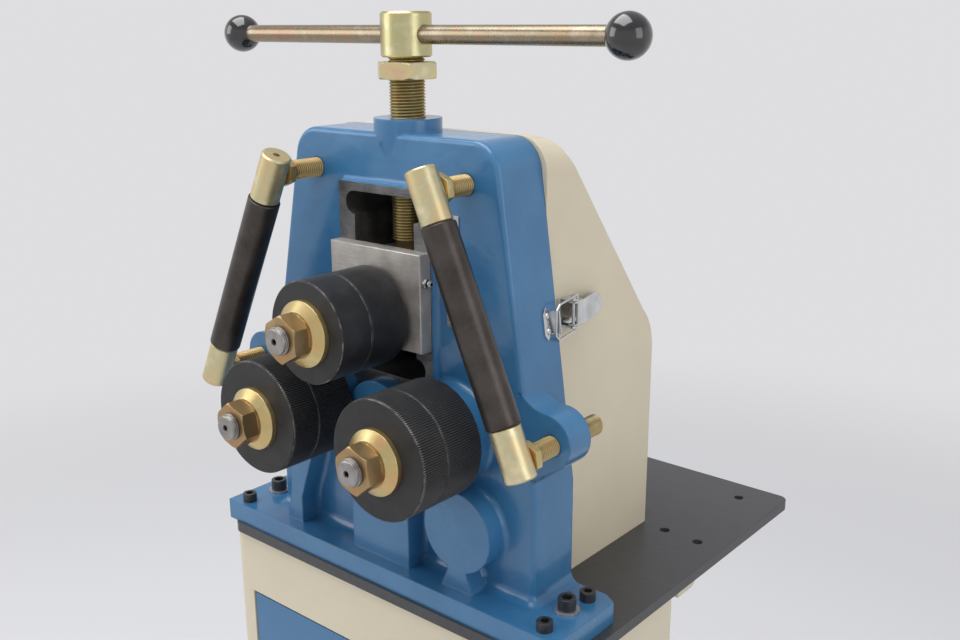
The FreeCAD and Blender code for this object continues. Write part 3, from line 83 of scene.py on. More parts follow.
ahead = Vector((-math.sin(YAW) * math.cos(PITCH), math.cos(YAW) * math.cos(PITCH),
                -math.sin(PITCH)))
level_right = Vector((math.cos(YAW), math.sin(YAW), 0))
level_up = level_right.cross(ahead)
right = math.cos(ROLL) * level_right + math.sin(ROLL) * level_up
up = right.cross(ahead)

lens = bpy.data.cameras.new("camera")
lens.sensor_width = SENSOR_WIDTH
lens.lens = FOCAL_LENGTH
camera = bpy.data.objects.new("camera", lens)
turn = Matrix((right, up, -ahead)).transposed()
camera.matrix_world = Matrix.Translation(EYE) @ turn.to_4x4()
bpy.context.scene.collection.objects.link(camera)
bpy.context.scene.camera = camera
print("camera at", [round(v, 3) for v in EYE], "lens", lens.lens)

# %% [markdown]
# ## Tools for finishes
# Each finish is a small net of nodes. A few helpers keep the nets short: they add a node,
# join two sockets, read the piece's own coordinates, and give noise, colour and bump. All
# patterns lie on Object coordinates, so they stay on the metal when the machine moves.
# The floor and the room use the same helpers.

# %% Node helpers
COAT_ROUGHNESS = 0.08


def add_node(finish, kind, **settings):
    """A new shader node in a finish, with its settings."""
    made = finish.node_tree.nodes.new("ShaderNode" + kind)
    for name, value in settings.items():
        setattr(made, name, value)
    return made


def join(finish, source, target):
    """A link from one socket to another."""
    finish.node_tree.links.new(source, target)


def shader_of(finish):
    """The shader that every finish has."""
    return finish.node_tree.nodes["Principled BSDF"]


def new_finish(name, rough, metal=0.0, coat=0.0):
    """A material with its plain numbers set on the shader itself."""
    finish = bpy.data.materials.new(name)
    finish.use_nodes = True
    shader = shader_of(finish)
    shader.inputs["Roughness"].default_value = rough
    shader.inputs["Metallic"].default_value = metal
    shader.inputs["Coat Weight"].default_value = coat
    shader.inputs["Coat Roughness"].default_value = COAT_ROUGHNESS
    return finish


def own_point(finish, centre=(0, 0, 0), turn=(0, 0, 0), stretch=(1, 1, 1)):
    """The piece's own coordinates, centred, turned and stretched for a pattern."""
    coordinates = add_node(finish, "TexCoord")
    mapping = add_node(finish, "Mapping", vector_type="TEXTURE")
    mapping.inputs["Location"].default_value = centre
    mapping.inputs["Rotation"].default_value = turn
    mapping.inputs["Scale"].default_value = stretch
    join(finish, coordinates.outputs["Object"], mapping.inputs["Vector"])
    return mapping.outputs["Vector"]


def cloud(finish, point, scale, detail=3.0):
    """Soft random noise at so many waves to the metre."""
    noise = add_node(finish, "TexNoise")
    noise.inputs["Scale"].default_value = scale
    noise.inputs["Detail"].default_value = detail
    join(finish, point, noise.inputs["Vector"])
    return noise.outputs[0]


def blend_colours(finish, factor, stops):
    """A colour ramp from (position, (r, g, b)) stops."""
    ramp = add_node(finish, "ValToRGB")
    elements = ramp.color_ramp.elements
    while len(elements) < len(stops):
        elements.new(0.5)
    for element, (position, colour) in zip(elements, stops):
        element.position = position
        element.color = (*colour, 1)
    join(finish, factor, ramp.inputs["Fac"])
    return ramp.outputs["Color"]


def paint_with(finish, colour):
    """The finish's first colour."""
    join(finish, colour, shader_of(finish).inputs["Base Color"])


def rough_between(finish, factor, low, high):
    """Roughness that follows a pattern."""
    spread = add_node(finish, "MapRange")
    spread.inputs["To Min"].default_value = low
    spread.inputs["To Max"].default_value = high
    join(finish, factor, spread.inputs["Value"])
    join(finish, spread.outputs[0], shader_of(finish).inputs["Roughness"])


def raise_by(finish, height, metres, edge):
    """Bump from a pattern, over edges that look rounded by the edge radius."""
    soft_edge = add_node(finish, "Bevel", samples=4)
    soft_edge.inputs["Radius"].default_value = edge
    bump = add_node(finish, "Bump")
    bump.inputs["Distance"].default_value = metres
    bump.inputs["Strength"].default_value = 1.0
    join(finish, height, bump.inputs["Height"])
    join(finish, soft_edge.outputs[0], bump.inputs["Normal"])
    join(finish, bump.outputs[0], shader_of(finish).inputs["Normal"])


def weigh_in(finish, fine, share, broad):
    """A fine pattern, by its share, on top of a broad one."""
    made = add_node(finish, "Math", operation="MULTIPLY_ADD")
    join(finish, fine, made.inputs[0])
    made.inputs[1].default_value = share
    join(finish, broad, made.inputs[2])
    return made.outputs[0]


print("finish helpers ready")

# %% [markdown]
# Wear and painted shade follow a part's shape: the tips of a knurl are rubbed bright, and
# grooves and hollows are painted darker for their shade. Painting them by hand would need
# an image. Measuring where a point lies, from an axis or along it, gives the same effect at
# any size. These helpers measure the place, turn it into a share from nought to one, and
# show a second colour by that share.


# %% Wear and painted shade helpers
def about_axis(finish, centre, axis="Y"):
    """Distance from an axis through a point, and distance along it."""
    point = own_point(finish, centre)
    flat = add_node(finish, "VectorMath", operation="MULTIPLY")
    flat.inputs[1].default_value = [0.0 if letter == axis else 1.0 for letter in "XYZ"]
    join(finish, point, flat.inputs[0])
    radius = add_node(finish, "VectorMath", operation="LENGTH")
    join(finish, flat.outputs[0], radius.inputs[0])
    parts = add_node(finish, "SeparateXYZ")
    join(finish, point, parts.inputs[0])
    return radius.outputs["Value"], parts.outputs[axis]


def beyond(finish, value, start, end, kind="LINEAR"):
    """Nought at the start value, one at the end value, and a ramp between."""
    ramp = add_node(finish, "MapRange", interpolation_type=kind)
    ramp.inputs["From Min"].default_value = start
    ramp.inputs["From Max"].default_value = end
    join(finish, value, ramp.inputs["Value"])
    return ramp.outputs[0]


def combine(finish, first, second, operation="MULTIPLY"):
    """Two shares made one."""
    made = add_node(finish, "Math", operation=operation)
    join(finish, first, made.inputs[0])
    join(finish, second, made.inputs[1])
    return made.outputs[0]


def near(finish, value, middle, reach):
    """One within reach of the middle value, else nought."""
    close = add_node(finish, "Math", operation="COMPARE")
    join(finish, value, close.inputs[0])
    close.inputs[1].default_value = middle
    close.inputs[2].default_value = reach
    return close.outputs[0]


def show_through(finish, share, colour):
    """A second colour over the first, by a share of each place."""
    base = shader_of(finish).inputs["Base Color"]
    mix = add_node(finish, "MixRGB")
    join(finish, share, mix.inputs["Fac"])
    join(finish, base.links[0].from_socket, mix.inputs["Color1"])
    mix.inputs["Color2"].default_value = (*colour, 1)
    join(finish, mix.outputs["Color"], base)


print("wear helpers ready")

# %% [markdown]
# ## Room and light
# The machine stands in front of a plain white wall. A lit floor alone would turn grey
# towards the horizon. So the floor fades, a few paces away, into the colour of the room,
# for the rays that see it directly or in a mirror. Near the machine it is an ordinary
# floor and keeps the shadow. The room is pale at eye height and darker overhead, because
# metal needs something uneven to reflect.

# %% Floor
ROOM_COLOUR = (0.73, 0.73, 0.745)
FLOOR_COLOUR = (0.74, 0.74, 0.75)
FLOOR_ROUGHNESS = 0.9
FLOOR_REACH = 40.0

floor_mesh = bpy.data.meshes.new("floor")
form = bmesh.new()
bmesh.ops.create_grid(form, x_segments=1, y_segments=1, size=FLOOR_REACH)
form.to_mesh(floor_mesh)
form.free()
floor = bpy.data.objects.new("floor", floor_mesh)
bpy.context.scene.collection.objects.link(floor)
floor_paint = new_finish("pale_floor", FLOOR_ROUGHNESS)
shader_of(floor_paint).inputs["Base Color"].default_value = (*FLOOR_COLOUR, 1)
floor.data.materials.append(floor_paint)
print("floor", [round(v, 2) for v in floor.dimensions])

# %% Fade the floor into the room
FADE_START = 1.5
FADE_END = 3.2

floor_place = add_node(floor_paint, "TexCoord")
floor_distance = add_node(floor_paint, "VectorMath", operation="LENGTH")
join(floor_paint, floor_place.outputs["Object"], floor_distance.inputs[0])
fade = beyond(floor_paint, floor_distance.outputs["Value"], FADE_START, FADE_END, "SMOOTHSTEP")

ray = add_node(floor_paint, "LightPath")
seen = ray.outputs["Is Camera Ray"]
for kind in ("Is Glossy Ray", "Is Transmission Ray"):
    seen = combine(floor_paint, seen, ray.outputs[kind], "MAXIMUM")
far_and_seen = combine(floor_paint, fade, seen)

far_colour = add_node(floor_paint, "Emission")
far_colour.inputs["Color"].default_value = (*ROOM_COLOUR, 1)
floor_mix = add_node(floor_paint, "MixShader")
join(floor_paint, far_and_seen, floor_mix.inputs[0])
join(floor_paint, shader_of(floor_paint).outputs[0], floor_mix.inputs[1])
join(floor_paint, far_colour.outputs[0], floor_mix.inputs[2])
surface = floor_paint.node_tree.nodes["Material Output"].inputs["Surface"]
join(floor_paint, floor_mix.outputs[0], surface)
print("floor fades from", FADE_START, "to", FADE_END, "metres")

# %% World
ROOM_HEIGHTS = ((0.0, ROOM_COLOUR), (0.30, ROOM_COLOUR), (0.55, (0.46, 0.46, 0.48)),
                (1.0, (0.58, 0.59, 0.62)))

world = bpy.data.worlds.new("white_room")
world.use_nodes = True
bpy.context.scene.world = world
sky_way = add_node(world, "TexCoord")
sky_split = add_node(world, "SeparateXYZ")
join(world, sky_way.outputs["Generated"], sky_split.inputs["Vector"])
sky_colour = blend_colours(world, sky_split.outputs["Z"], ROOM_HEIGHTS)
join(world, sky_colour, world.node_tree.nodes["Background"].inputs["Color"])
print("world stops", len(ROOM_HEIGHTS))

# %% Soft lamps
HEAD_MIDDLE = Vector((0.0, 0.0, 0.98))


def soft_lamp(name, place, width, height, watts):
    """A rectangular area lamp that faces the middle of the head."""
    lamp = bpy.data.lights.new(name, "AREA")
    lamp.shape = "RECTANGLE"
    lamp.size = width
    lamp.size_y = height
    lamp.energy = watts
    holder = bpy.data.objects.new(name, lamp)
    holder.location = place
    holder.rotation_euler = (HEAD_MIDDLE - Vector(place)).to_track_quat("-Z", "Y").to_euler()
    bpy.context.scene.collection.objects.link(holder)


soft_lamp("ceiling_lamp", (-0.3, -0.5, 3.1), width=2.4, height=1.6, watts=46)
soft_lamp("window_lamp", (-1.9, -1.7, 1.9), width=1.5, height=1.5, watts=16)
soft_lamp("side_lamp", (2.3, -0.2, 1.7), width=1.2, height=1.6, watts=9)

# %% [markdown]
# ## Painted finishes
# The cast head has thick blue enamel over a slightly uneven casting. The enamel could be
# one blue, but a real coat pools and thins, so two scales of noise shift the colour a
# little, a coarse bump gives the castings' waves and a fine one the orange peel of paint.


# %% Enamel and powder coat
def enamel(name, deep, pale, rough, coat, waves, peel, edge):
    """Gloss paint over metal: a cloudy colour, broad waves and fine peel."""
    finish = new_finish(name, rough, coat=coat)
    point = own_point(finish)
    tone = cloud(finish, point, 14.0, 4.0)
    paint_with(finish, blend_colours(finish, tone, [(0.32, deep), (0.68, pale)]))
    broad = cloud(finish, point, 38.0, 2.0)
    fine = cloud(finish, point, 420.0, 2.0)
    raise_by(finish, weigh_in(finish, fine, peel / waves, broad), waves, edge)
    rough_between(finish, tone, rough * 0.85, rough * 1.2)
    return finish


blue_enamel = enamel("blue_enamel", (0.034, 0.150, 0.318), (0.046, 0.184, 0.366),
                     rough=0.25, coat=0.38, waves=0.0011, peel=0.00010, edge=0.0030)
door_enamel = enamel("door_enamel", (0.034, 0.150, 0.318), (0.042, 0.170, 0.345),
                     rough=0.32, coat=0.2, waves=0.0002, peel=0.00006, edge=0.0010)
cream_coat = enamel("cream_coat", (0.680, 0.605, 0.450), (0.715, 0.640, 0.480),
                    rough=0.42, coat=0.1, waves=0.0002, peel=0.00007, edge=0.0014)
motor_grey = enamel("motor_grey", (0.10, 0.105, 0.11), (0.13, 0.135, 0.14),
                    rough=0.45, coat=0.1, waves=0.0006, peel=0.00008, edge=0.0015)
print("paints", blue_enamel.name, door_enamel.name, cream_coat.name, motor_grey.name)

# %% [markdown]
# ## Blacks
# The table plate is sprayed satin black and gets scuffed where bars are laid on it. The
# socket screws and the nylon gland are black too. Noise stretched one way draws the long
# scuffs. One function serves all three, because they differ only in tone and gloss.


# %% Black plate, screws and gland
def scuffed_black(name, base, worn, rough, edge):
    """Satin black with dust and long faint scuffs."""
    finish = new_finish(name, rough)
    along_scuffs = own_point(finish, turn=(0, 0, 0.5), stretch=(1, 0.06, 1))
    streaks = cloud(finish, along_scuffs, 60.0, 5.0)
    paint_with(finish, blend_colours(finish, streaks, [(0.35, base), (0.75, worn)]))
    rough_between(finish, streaks, rough * 0.75, rough * 1.25)
    raise_by(finish, cloud(finish, own_point(finish), 500.0, 2.0), 0.00005, edge)
    return finish


black_plate = scuffed_black("black_plate", (0.040, 0.041, 0.044), (0.068, 0.069, 0.072),
                            rough=0.36, edge=0.0010)
black_screw = scuffed_black("black_screw", (0.016, 0.016, 0.018), (0.045, 0.045, 0.048),
                            rough=0.35, edge=0.0005)
gland_nylon = scuffed_black("gland_nylon", (0.020, 0.020, 0.021), (0.030, 0.030, 0.031),
                            rough=0.55, edge=0.0008)
print("blacks", black_plate.name, black_screw.name, gland_nylon.name)

# %% [markdown]
# ## Turned metal
# A lathe leaves fine rings round the axis. One pattern serves every turned piece: the
# distance from the axis plus the distance along it, fed to noise in one dimension. It
# gives rings on the faces and on the walls alike. Each piece's axis is named, because a
# pattern centred on the wrong place would show as odd arcs.

# %% Rings about an axis
RINGS_PER_METRE = 1800.0
RING_DEPTH = 0.00004
TURNED_EDGE = 0.0008


def lathe_rings(finish, centre):
    """One-dimensional noise of radius plus length, about a Y axis."""
    radius, along = about_axis(finish, centre)
    rings = add_node(finish, "TexNoise", noise_dimensions="1D")
    rings.inputs["Scale"].default_value = RINGS_PER_METRE
    rings.inputs["Detail"].default_value = 3.0
    join(finish, combine(finish, radius, along, "ADD"), rings.inputs["W"])
    return rings.outputs[0]


def turned_metal(name, dark, light, rough, centre, metal=1.0):
    """Bare or blackened metal with lathe rings and cloudy stains."""
    finish = new_finish(name, rough, metal)
    rings = lathe_rings(finish, centre)
    stain = cloud(finish, own_point(finish), 55.0, 4.0)
    mixed = weigh_in(finish, rings, 0.35, stain)
    paint_with(finish, blend_colours(finish, mixed, [(0.45, dark), (0.90, light)]))
    rough_between(finish, mixed, rough * 0.8, rough * 1.3)
    raise_by(finish, rings, RING_DEPTH, TURNED_EDGE)
    return finish


print("rings to the metre", RINGS_PER_METRE)

# %% [markdown]
# The rolls are turned and then blackened in hot oil. Handling rubs the black off at the
# front rim, at the seam between the two rings and on the tips of the knurl. The black is
# a thin skin, so it is given as half metal: full metal would be too dark here.

# %% Black rolls
ROLL_AXES = {"left": (-0.087, 0, 0.904), "right": (0.087, 0, 0.904), "top": (0, 0, 1.010)}
ROLL_FRONT = {"left": -0.181, "right": -0.181, "top": -0.1835}
ROLL_SEAM = {"left": -0.148, "right": -0.148, "top": -0.1455}
LOWER_ROLL_RADIUS = 0.059
KNURL_DEPTH = 0.0009


def rim_and_seam(finish, side, rim_inset, rim_reach, seam_reach):
    """One near a roll's front rim and near the seam of its two rings, else nought."""
    _, along = about_axis(finish, ROLL_AXES[side])
    rim = near(finish, along, ROLL_FRONT[side] + rim_inset, rim_reach)
    seam = near(finish, along, ROLL_SEAM[side], seam_reach)
    return combine(finish, rim, seam, "MAXIMUM")


def black_roll_finish(name, side):
    """Oil-black turned steel, rubbed bright in patches at the front rim and the seam."""
    finish = turned_metal(name, (0.026, 0.026, 0.027), (0.044, 0.044, 0.045), 0.40,
                          ROLL_AXES[side], metal=0.5)
    patchy = beyond(finish, cloud(finish, own_point(finish), 110.0), 0.42, 0.66)
    edges = rim_and_seam(finish, side, 0.0011, 0.0005, 0.0005)
    show_through(finish, combine(finish, edges, patchy), (0.19, 0.18, 0.165))
    return finish


def knurled_finish(name, side):
    """The same black, with the tips of the teeth rubbed, most at the rim and the seam."""
    finish = black_roll_finish(name, side)
    radius, _ = about_axis(finish, ROLL_AXES[side])
    tips = beyond(finish, radius, LOWER_ROLL_RADIUS - 0.5 * KNURL_DEPTH, LOWER_ROLL_RADIUS)
    show_through(finish, tips, (0.105, 0.103, 0.100))
    edges = rim_and_seam(finish, side, 0.0015, 0.0014, 0.0010)
    show_through(finish, combine(finish, edges, tips), (0.30, 0.285, 0.26))
    return finish


black_roll = {side: black_roll_finish("black_roll_" + side, side) for side in ROLL_AXES}
knurled_roll = {side: knurled_finish("knurled_roll_" + side, side)
                for side in ("left", "right")}
print("roll finishes", len(black_roll) + len(knurled_roll))

# %% Shaft steel
WASHER_REACH = 0.012
NUT_REACH = 0.019
THREAD_REACH = 0.007
NOSE_REACH = WASHER_REACH + NUT_REACH + THREAD_REACH
NOSE_TIP = {side: front - NOSE_REACH for side, front in ROLL_FRONT.items()}
NOSE_RADIUS = 0.0135
PLAIN_TIP = 0.0030


def shaft_steel(name, side):
    """Turned steel with painted shade in its centre hole and in its thread roots."""
    finish = turned_metal(name, (0.24, 0.225, 0.215), (0.42, 0.40, 0.385), 0.34,
                          ROLL_AXES[side])
    radius, along = about_axis(finish, ROLL_AXES[side])
    thread_start = NOSE_TIP[side] + PLAIN_TIP
    # Painted shade: the nose's thread roots are darkened.
    thread_root_shade = beyond(finish, radius, NOSE_RADIUS - 0.0003, NOSE_RADIUS - 0.0014)
    threaded = beyond(finish, along, thread_start, thread_start + 0.0004)
    show_through(finish, combine(finish, thread_root_shade, threaded), (0.060, 0.048, 0.040))
    # Painted shade: the centre hole is darkened.
    centre_hole_shade = beyond(finish, radius, 0.0040, 0.0026)
    show_through(finish, centre_hole_shade, (0.030, 0.027, 0.025))
    return finish


bright_end = {side: shaft_steel("turned_steel_" + side, side) for side in ROLL_AXES}
print("shaft finishes", len(bright_end))

# %% [markdown]
# ## Yellow zinc
# The handle, screw, eyes, washers and nuts have yellow passivated zinc. Its thin film
# makes faint bands of straw, green and rose. One colour for all would look wrong, because
# the film is thin on the eyes and thick and brown on the nuts and the bar. So a base
# straw is given, and the other tones of its ramp are worked out from it.

# %% Yellow zinc
ROSE_SHIFT = (1.00, 0.84, 1.02)
GREEN_SHIFT = (0.88, 1.00, 1.10)
PALE_SHIFT = (1.20, 1.28, 1.50)
ZINC_GRAIN = 0.00004
ZINC_EDGE = 0.0008


def shifted(colour, shift):
    """A colour with each of its three parts scaled."""
    return [part * scale for part, scale in zip(colour, shift)]


def yellow_zinc(name, straw, rough=0.34):
    """Plating with a straw base and faint green, rose and pale clouds."""
    finish = new_finish(name, rough, metal=0.92)
    point = own_point(finish)
    film = cloud(finish, point, 48.0, 3.0)
    tones = [(0.25, shifted(straw, ROSE_SHIFT)), (0.42, straw),
             (0.55, shifted(straw, GREEN_SHIFT)), (0.75, shifted(straw, PALE_SHIFT))]
    paint_with(finish, blend_colours(finish, film, tones))
    grain = cloud(finish, point, 700.0, 3.0)
    rough_between(finish, grain, rough * 0.78, rough * 1.25)
    raise_by(finish, grain, ZINC_GRAIN, ZINC_EDGE)
    return finish


zinc = yellow_zinc("yellow_zinc", (0.64, 0.46, 0.20))
pale_zinc = yellow_zinc("pale_zinc", (0.70, 0.56, 0.31), rough=0.38)
hub_zinc = yellow_zinc("hub_zinc", (0.60, 0.50, 0.25), rough=0.30)
brown_zinc = yellow_zinc("brown_zinc", (0.44, 0.28, 0.13))
bar_zinc = yellow_zinc("bar_zinc", (0.33, 0.245, 0.155), rough=0.28)
print("zinc", zinc.name, pale_zinc.name, hub_zinc.name, brown_zinc.name, bar_zinc.name)

# %% [markdown]
# The screw and the studs get a darker brown below their crests, by the distance from
# their own axes: painted shade in the thread roots.

# %% Screw and stud plating
SCREW_Y = -0.040
SCREW_RADIUS = 0.018
STUD_RADIUS = 0.010
# Each guide: its studs' front end, then (x, z) of the upper and of the lower stud
GUIDES = {"right": (-0.125, (0.1017, 1.1452), (0.2027, 0.9145)),
          "left": (-0.133, (-0.1017, 1.1452), (-0.2147, 0.9180))}

screw_zinc = yellow_zinc("screw_zinc", (0.56, 0.43, 0.19))
screw_distance, _ = about_axis(screw_zinc, (0, SCREW_Y, 0), "Z")
# Painted shade: the screw's thread roots are darkened.
screw_root_shade = beyond(screw_zinc, screw_distance, SCREW_RADIUS - 0.0006, SCREW_RADIUS - 0.0016)
show_through(screw_zinc, screw_root_shade, (0.20, 0.145, 0.065))


def stud_plating(side):
    """Brown zinc with painted shade in the thread grooves, about each of a guide's two studs."""
    finish = yellow_zinc("stud_zinc_" + side, (0.58, 0.42, 0.19))
    radii = [about_axis(finish, (x, 0, z))[0] for x, z in GUIDES[side][1:]]
    nearest = combine(finish, *radii, "MINIMUM")
    # Painted shade: the studs' thread roots are darkened.
    thread_root_shade = beyond(finish, nearest, STUD_RADIUS - 0.0004, STUD_RADIUS - 0.0012)
    show_through(finish, thread_root_shade, (0.15, 0.105, 0.05))
    return finish


stud_zinc = {side: stud_plating(side) for side in GUIDES}
print("threaded plating", screw_zinc.name, [finish.name for finish in stud_zinc.values()])

# %% [markdown]
# ## Ground metal
# The slide's face is surface-ground, and the stone leaves fine lines one way. Drawn tube,
# milled iron, gears and chromed latches have such lines too, in other directions. Noise
# stretched across the lines makes them, and oil clouds lie on top.


# %% Ground steel, oiled tube and bronze
def ground_metal(name, dark, light, rough, stretch, metal=0.85, edge=0.0006):
    """Surface-ground metal: long fine lines one way, with oil clouds over them."""
    finish = new_finish(name, rough, metal=metal)
    lines = cloud(finish, own_point(finish, stretch=stretch), 900.0, 3.0)
    oil = cloud(finish, own_point(finish), 45.0, 4.0)
    mixed = weigh_in(finish, lines, 0.45, oil)
    paint_with(finish, blend_colours(finish, mixed, [(0.50, dark), (0.95, light)]))
    rough_between(finish, mixed, rough * 0.8, rough * 1.25)
    raise_by(finish, lines, 0.00003, edge)
    return finish


slide_steel = ground_metal("slide_steel", (0.37, 0.345, 0.32), (0.56, 0.53, 0.49), 0.42,
                           (12, 1, 1), metal=0.7)
plain_steel = ground_metal("plain_steel", (0.33, 0.33, 0.34), (0.52, 0.52, 0.53), 0.36,
                           (1, 1, 8))
bare_iron = ground_metal("bare_iron", (0.090, 0.090, 0.092), (0.250, 0.250, 0.255), 0.38,
                         (12, 1, 1))
gear_steel = ground_metal("gear_steel", (0.20, 0.19, 0.18), (0.38, 0.37, 0.35), 0.38,
                          (1, 10, 1))
oiled_tube = ground_metal("oiled_tube", (0.050, 0.041, 0.036), (0.082, 0.071, 0.064), 0.30,
                          (1, 1, 6), metal=0.7)
bush_bronze = ground_metal("bush_bronze", (0.42, 0.27, 0.11), (0.55, 0.38, 0.17), 0.38,
                           (1, 1, 1))
latch_chrome = ground_metal("latch_chrome", (0.50, 0.51, 0.52), (0.74, 0.75, 0.76), 0.16,
                            (1, 1, 1), metal=1.0, edge=0.0004)
print("metals", slide_steel.name, bare_iron.name, oiled_tube.name, latch_chrome.name)

# %% [markdown]
# A rule's marks are etched and filled with black. They could be cut as grooves, but they
# are too shallow to show any depth. So the height, divided by the marks' distance, leaves
# a remainder that says where the black lies. No numbers are shown.

# %% Rule marks
RULE_EDGE = 0.077
MARK_EVERY = 0.005
MARK_HALF_WIDTH = 0.0003
MARK_LENGTH = 0.0085

rule_steel = ground_metal("rule_steel", (0.33, 0.33, 0.34), (0.50, 0.50, 0.51), 0.36,
                          (1, 1, 8))
_, across = about_axis(rule_steel, (RULE_EDGE, 0, 0), "X")
_, height = about_axis(rule_steel, (0, 0, 0), "Z")
step = add_node(rule_steel, "Math", operation="MODULO")
step.inputs[1].default_value = MARK_EVERY
join(rule_steel, height, step.inputs[0])
marks = near(rule_steel, step.outputs[0], MARK_EVERY / 2, MARK_HALF_WIDTH)
mark_side = beyond(rule_steel, across, MARK_LENGTH, MARK_LENGTH - 0.0001)
show_through(rule_steel, combine(rule_steel, marks, mark_side), (0.02, 0.02, 0.02))
print("rule marks every", MARK_EVERY)

# %% [markdown]
# ## Moulded ball black
# The handle's balls are moulded from phenolic resin and polished: nearly black, with a
# clear gloss. A mirror finish would look like glass, so a little dust dulls it.

# %% Ball black
DUST_FREE = (0.0055, 0.0055, 0.0062)
DUSTY = (0.013, 0.013, 0.014)

ball_black = new_finish("ball_black", 0.16, coat=1.0)
ball_point = own_point(ball_black)
dust = cloud(ball_black, ball_point, 90.0, 4.0)
paint_with(ball_black, blend_colours(ball_black, dust, [(0.40, DUST_FREE), (0.85, DUSTY)]))
raise_by(ball_black, cloud(ball_black, ball_point, 150.0, 1.0), 0.00002, 0.0004)
print("ball finish", ball_black.name)

# %% [markdown]
# ## Finishes onto the nodes
# The frame's nodes arrive as loose triangles and keep their meshes. A merged copy with
# smooth shading stands for each of them. Its sharp edges stay sharp, and its long flat
# faces keep their shading even. The casting's copy also gets the fillets that molten iron
# leaves at each root: its inner edges are bevelled, which fills them.

# %% Pieces that stand for nodes
SMOOTH_BELOW = 35.0


def piece_from(name, forms, finish, node, smooth_below=SMOOTH_BELOW):
    """One object from several bmeshes, smooth below an angle, in place of a node."""
    whole = bmesh.new()
    for form in forms:
        part = bpy.data.meshes.new("part")
        form.to_mesh(part)
        form.free()
        whole.from_mesh(part)
        bpy.data.meshes.remove(part)
    limit = math.radians(smooth_below)
    for edge in whole.edges:
        edge.smooth = edge.is_manifold and edge.calc_face_angle(math.pi) < limit
    for face in whole.faces:
        face.smooth = True
    mesh = bpy.data.meshes.new(name)
    whole.to_mesh(mesh)
    whole.free()
    mesh.materials.append(finish)
    piece = bpy.data.objects.new(name, mesh)
    bpy.context.scene.collection.objects.link(piece)
    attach(piece, nodes[node]["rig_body"])
    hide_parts(node)
    return piece


# %% Dress the nodes
MERGE_WITHIN = 0.000002
FLAT_WITHIN = math.radians(0.4)
ON_PLANE = 0.0002
WALL_FRONT_Y = -0.071
LOWEST_ROOT_Z = 0.752
ROOT_ANGLE = math.radians(50)
FILLET = 0.006


def dress(name, finish, reshape=None):
    """A merged, smooth-shaded copy of a node, in place of the node."""
    form = bmesh.new()
    form.from_mesh(nodes[name].data)
    bmesh.ops.remove_doubles(form, verts=form.verts, dist=MERGE_WITHIN)
    bmesh.ops.dissolve_limit(form, angle_limit=FLAT_WITHIN, verts=form.verts, edges=form.edges)
    if reshape:
        reshape(form)
    piece = piece_from(name + "_dressed", [form], finish, name)
    evener = piece.modifiers.new("even_shading", "WEIGHTED_NORMAL")
    evener.keep_sharp = True


def on_wall_front(vert):
    """Whether a point lies on the casting's front wall, above its foot."""
    return abs(vert.co.y - WALL_FRONT_Y) < ON_PLANE and vert.co.z > LOWEST_ROOT_Z


def cast_fillets(form):
    """Round the roots of the pad, column and bosses into the casting's front wall."""
    roots = [edge for edge in form.edges
             if edge.is_manifold and not edge.is_convex and edge.calc_face_angle() > ROOT_ANGLE
             and all(on_wall_front(vert) for vert in edge.verts)]
    bmesh.ops.bevel(form, geom=roots, offset=FILLET, offset_type="OFFSET", segments=4,
                    profile=0.5, affect="EDGES", clamp_overlap=False, material=-1)
    print("filleted roots", len(roots))


FINISH_OF = {
    "cabinet_shell": cream_coat, "foot_plates": cream_coat, "plate_rails": cream_coat,
    "cable_gland": gland_nylon, "door_hinge_pins": plain_steel, "cabinet_door": door_enamel,
    "door_lock": latch_chrome, "table_plate": black_plate, "frame_casting": blue_enamel,
    "shaft_bushes": bush_bronze, "flange_bolts": black_screw,
    "flange_bolt_washers": plain_steel, "scale_rule": rule_steel, "gearbox": motor_grey,
    "drive_motor": motor_grey, "drive_pinion": gear_steel, "bull_gear": gear_steel,
    "idler_shaft": gear_steel, "gear_cover": cream_coat, "latch_strikes": latch_chrome,
    "latch_bases": latch_chrome, "latch_lever_right": latch_chrome,
    "latch_lever_left": latch_chrome, "latch_bail_right": latch_chrome,
    "latch_bail_left": latch_chrome, "slide_plate": slide_steel, "slide_block": slide_steel,
    "slide_keeper": slide_steel, "top_bushes": bush_bronze, "screw_lock_nut": pale_zinc,
    "handle_hub": hub_zinc, "handle_bar": bar_zinc, "handle_balls": ball_black,
    "top_front_ring": black_roll["top"], "top_rear_ring": black_roll["top"],
}
for side in ("left", "right", "top"):
    FINISH_OF[side + "_flange_washer"] = zinc
    FINISH_OF[side + "_shaft_nut"] = brown_zinc
for side in ("left", "right"):
    FINISH_OF[side + "_roll_gear"] = gear_steel
    FINISH_OF[side + "_guide_pin"] = pale_zinc
    FINISH_OF[side + "_guide_sleeve"] = oiled_tube
    FINISH_OF[side + "_guide_nuts"] = zinc

for name, finish in FINISH_OF.items():
    dress(name, finish, reshape=cast_fillets if name == "frame_casting" else None)
print("dressed", len(FINISH_OF), "nodes")

# %% [markdown]
# ## Bare iron
# The casting is painted first, and then its pad and its window are milled, so these faces
# show bare iron. They could be pieces of their own, but then a seam would show. Here the
# faces that lie on the pad's front or inside the window take a second material.

# %% Bare iron on the casting
PAD_FRONT_Y = -0.078
PAD_CORNERS = ((-0.064, 0.920), (0.064, 1.140))
WINDOW_CORNERS = ((-0.0535, 0.9425), (0.0535, 1.1275))


def inside(point, corners):
    """Whether a point, seen from the front, lies within two corners."""
    (low_x, low_z), (high_x, high_z) = corners
    return low_x <= point.x <= high_x and low_z <= point.z <= high_z


def is_machined(points):
    """Whether a face lies on the pad's front or inside the window."""
    on_pad = all(abs(p.y - PAD_FRONT_Y) < ON_PLANE and inside(p, PAD_CORNERS) for p in points)
    return on_pad or all(inside(p, WINDOW_CORNERS) for p in points)


casting = bpy.data.objects["frame_casting_dressed"].data
casting.materials.append(bare_iron)
machined = [polygon for polygon in casting.polygons
            if is_machined([casting.vertices[i].co for i in polygon.vertices])]
for polygon in machined:
    polygon.material_index = 1
print("machined faces", len(machined))

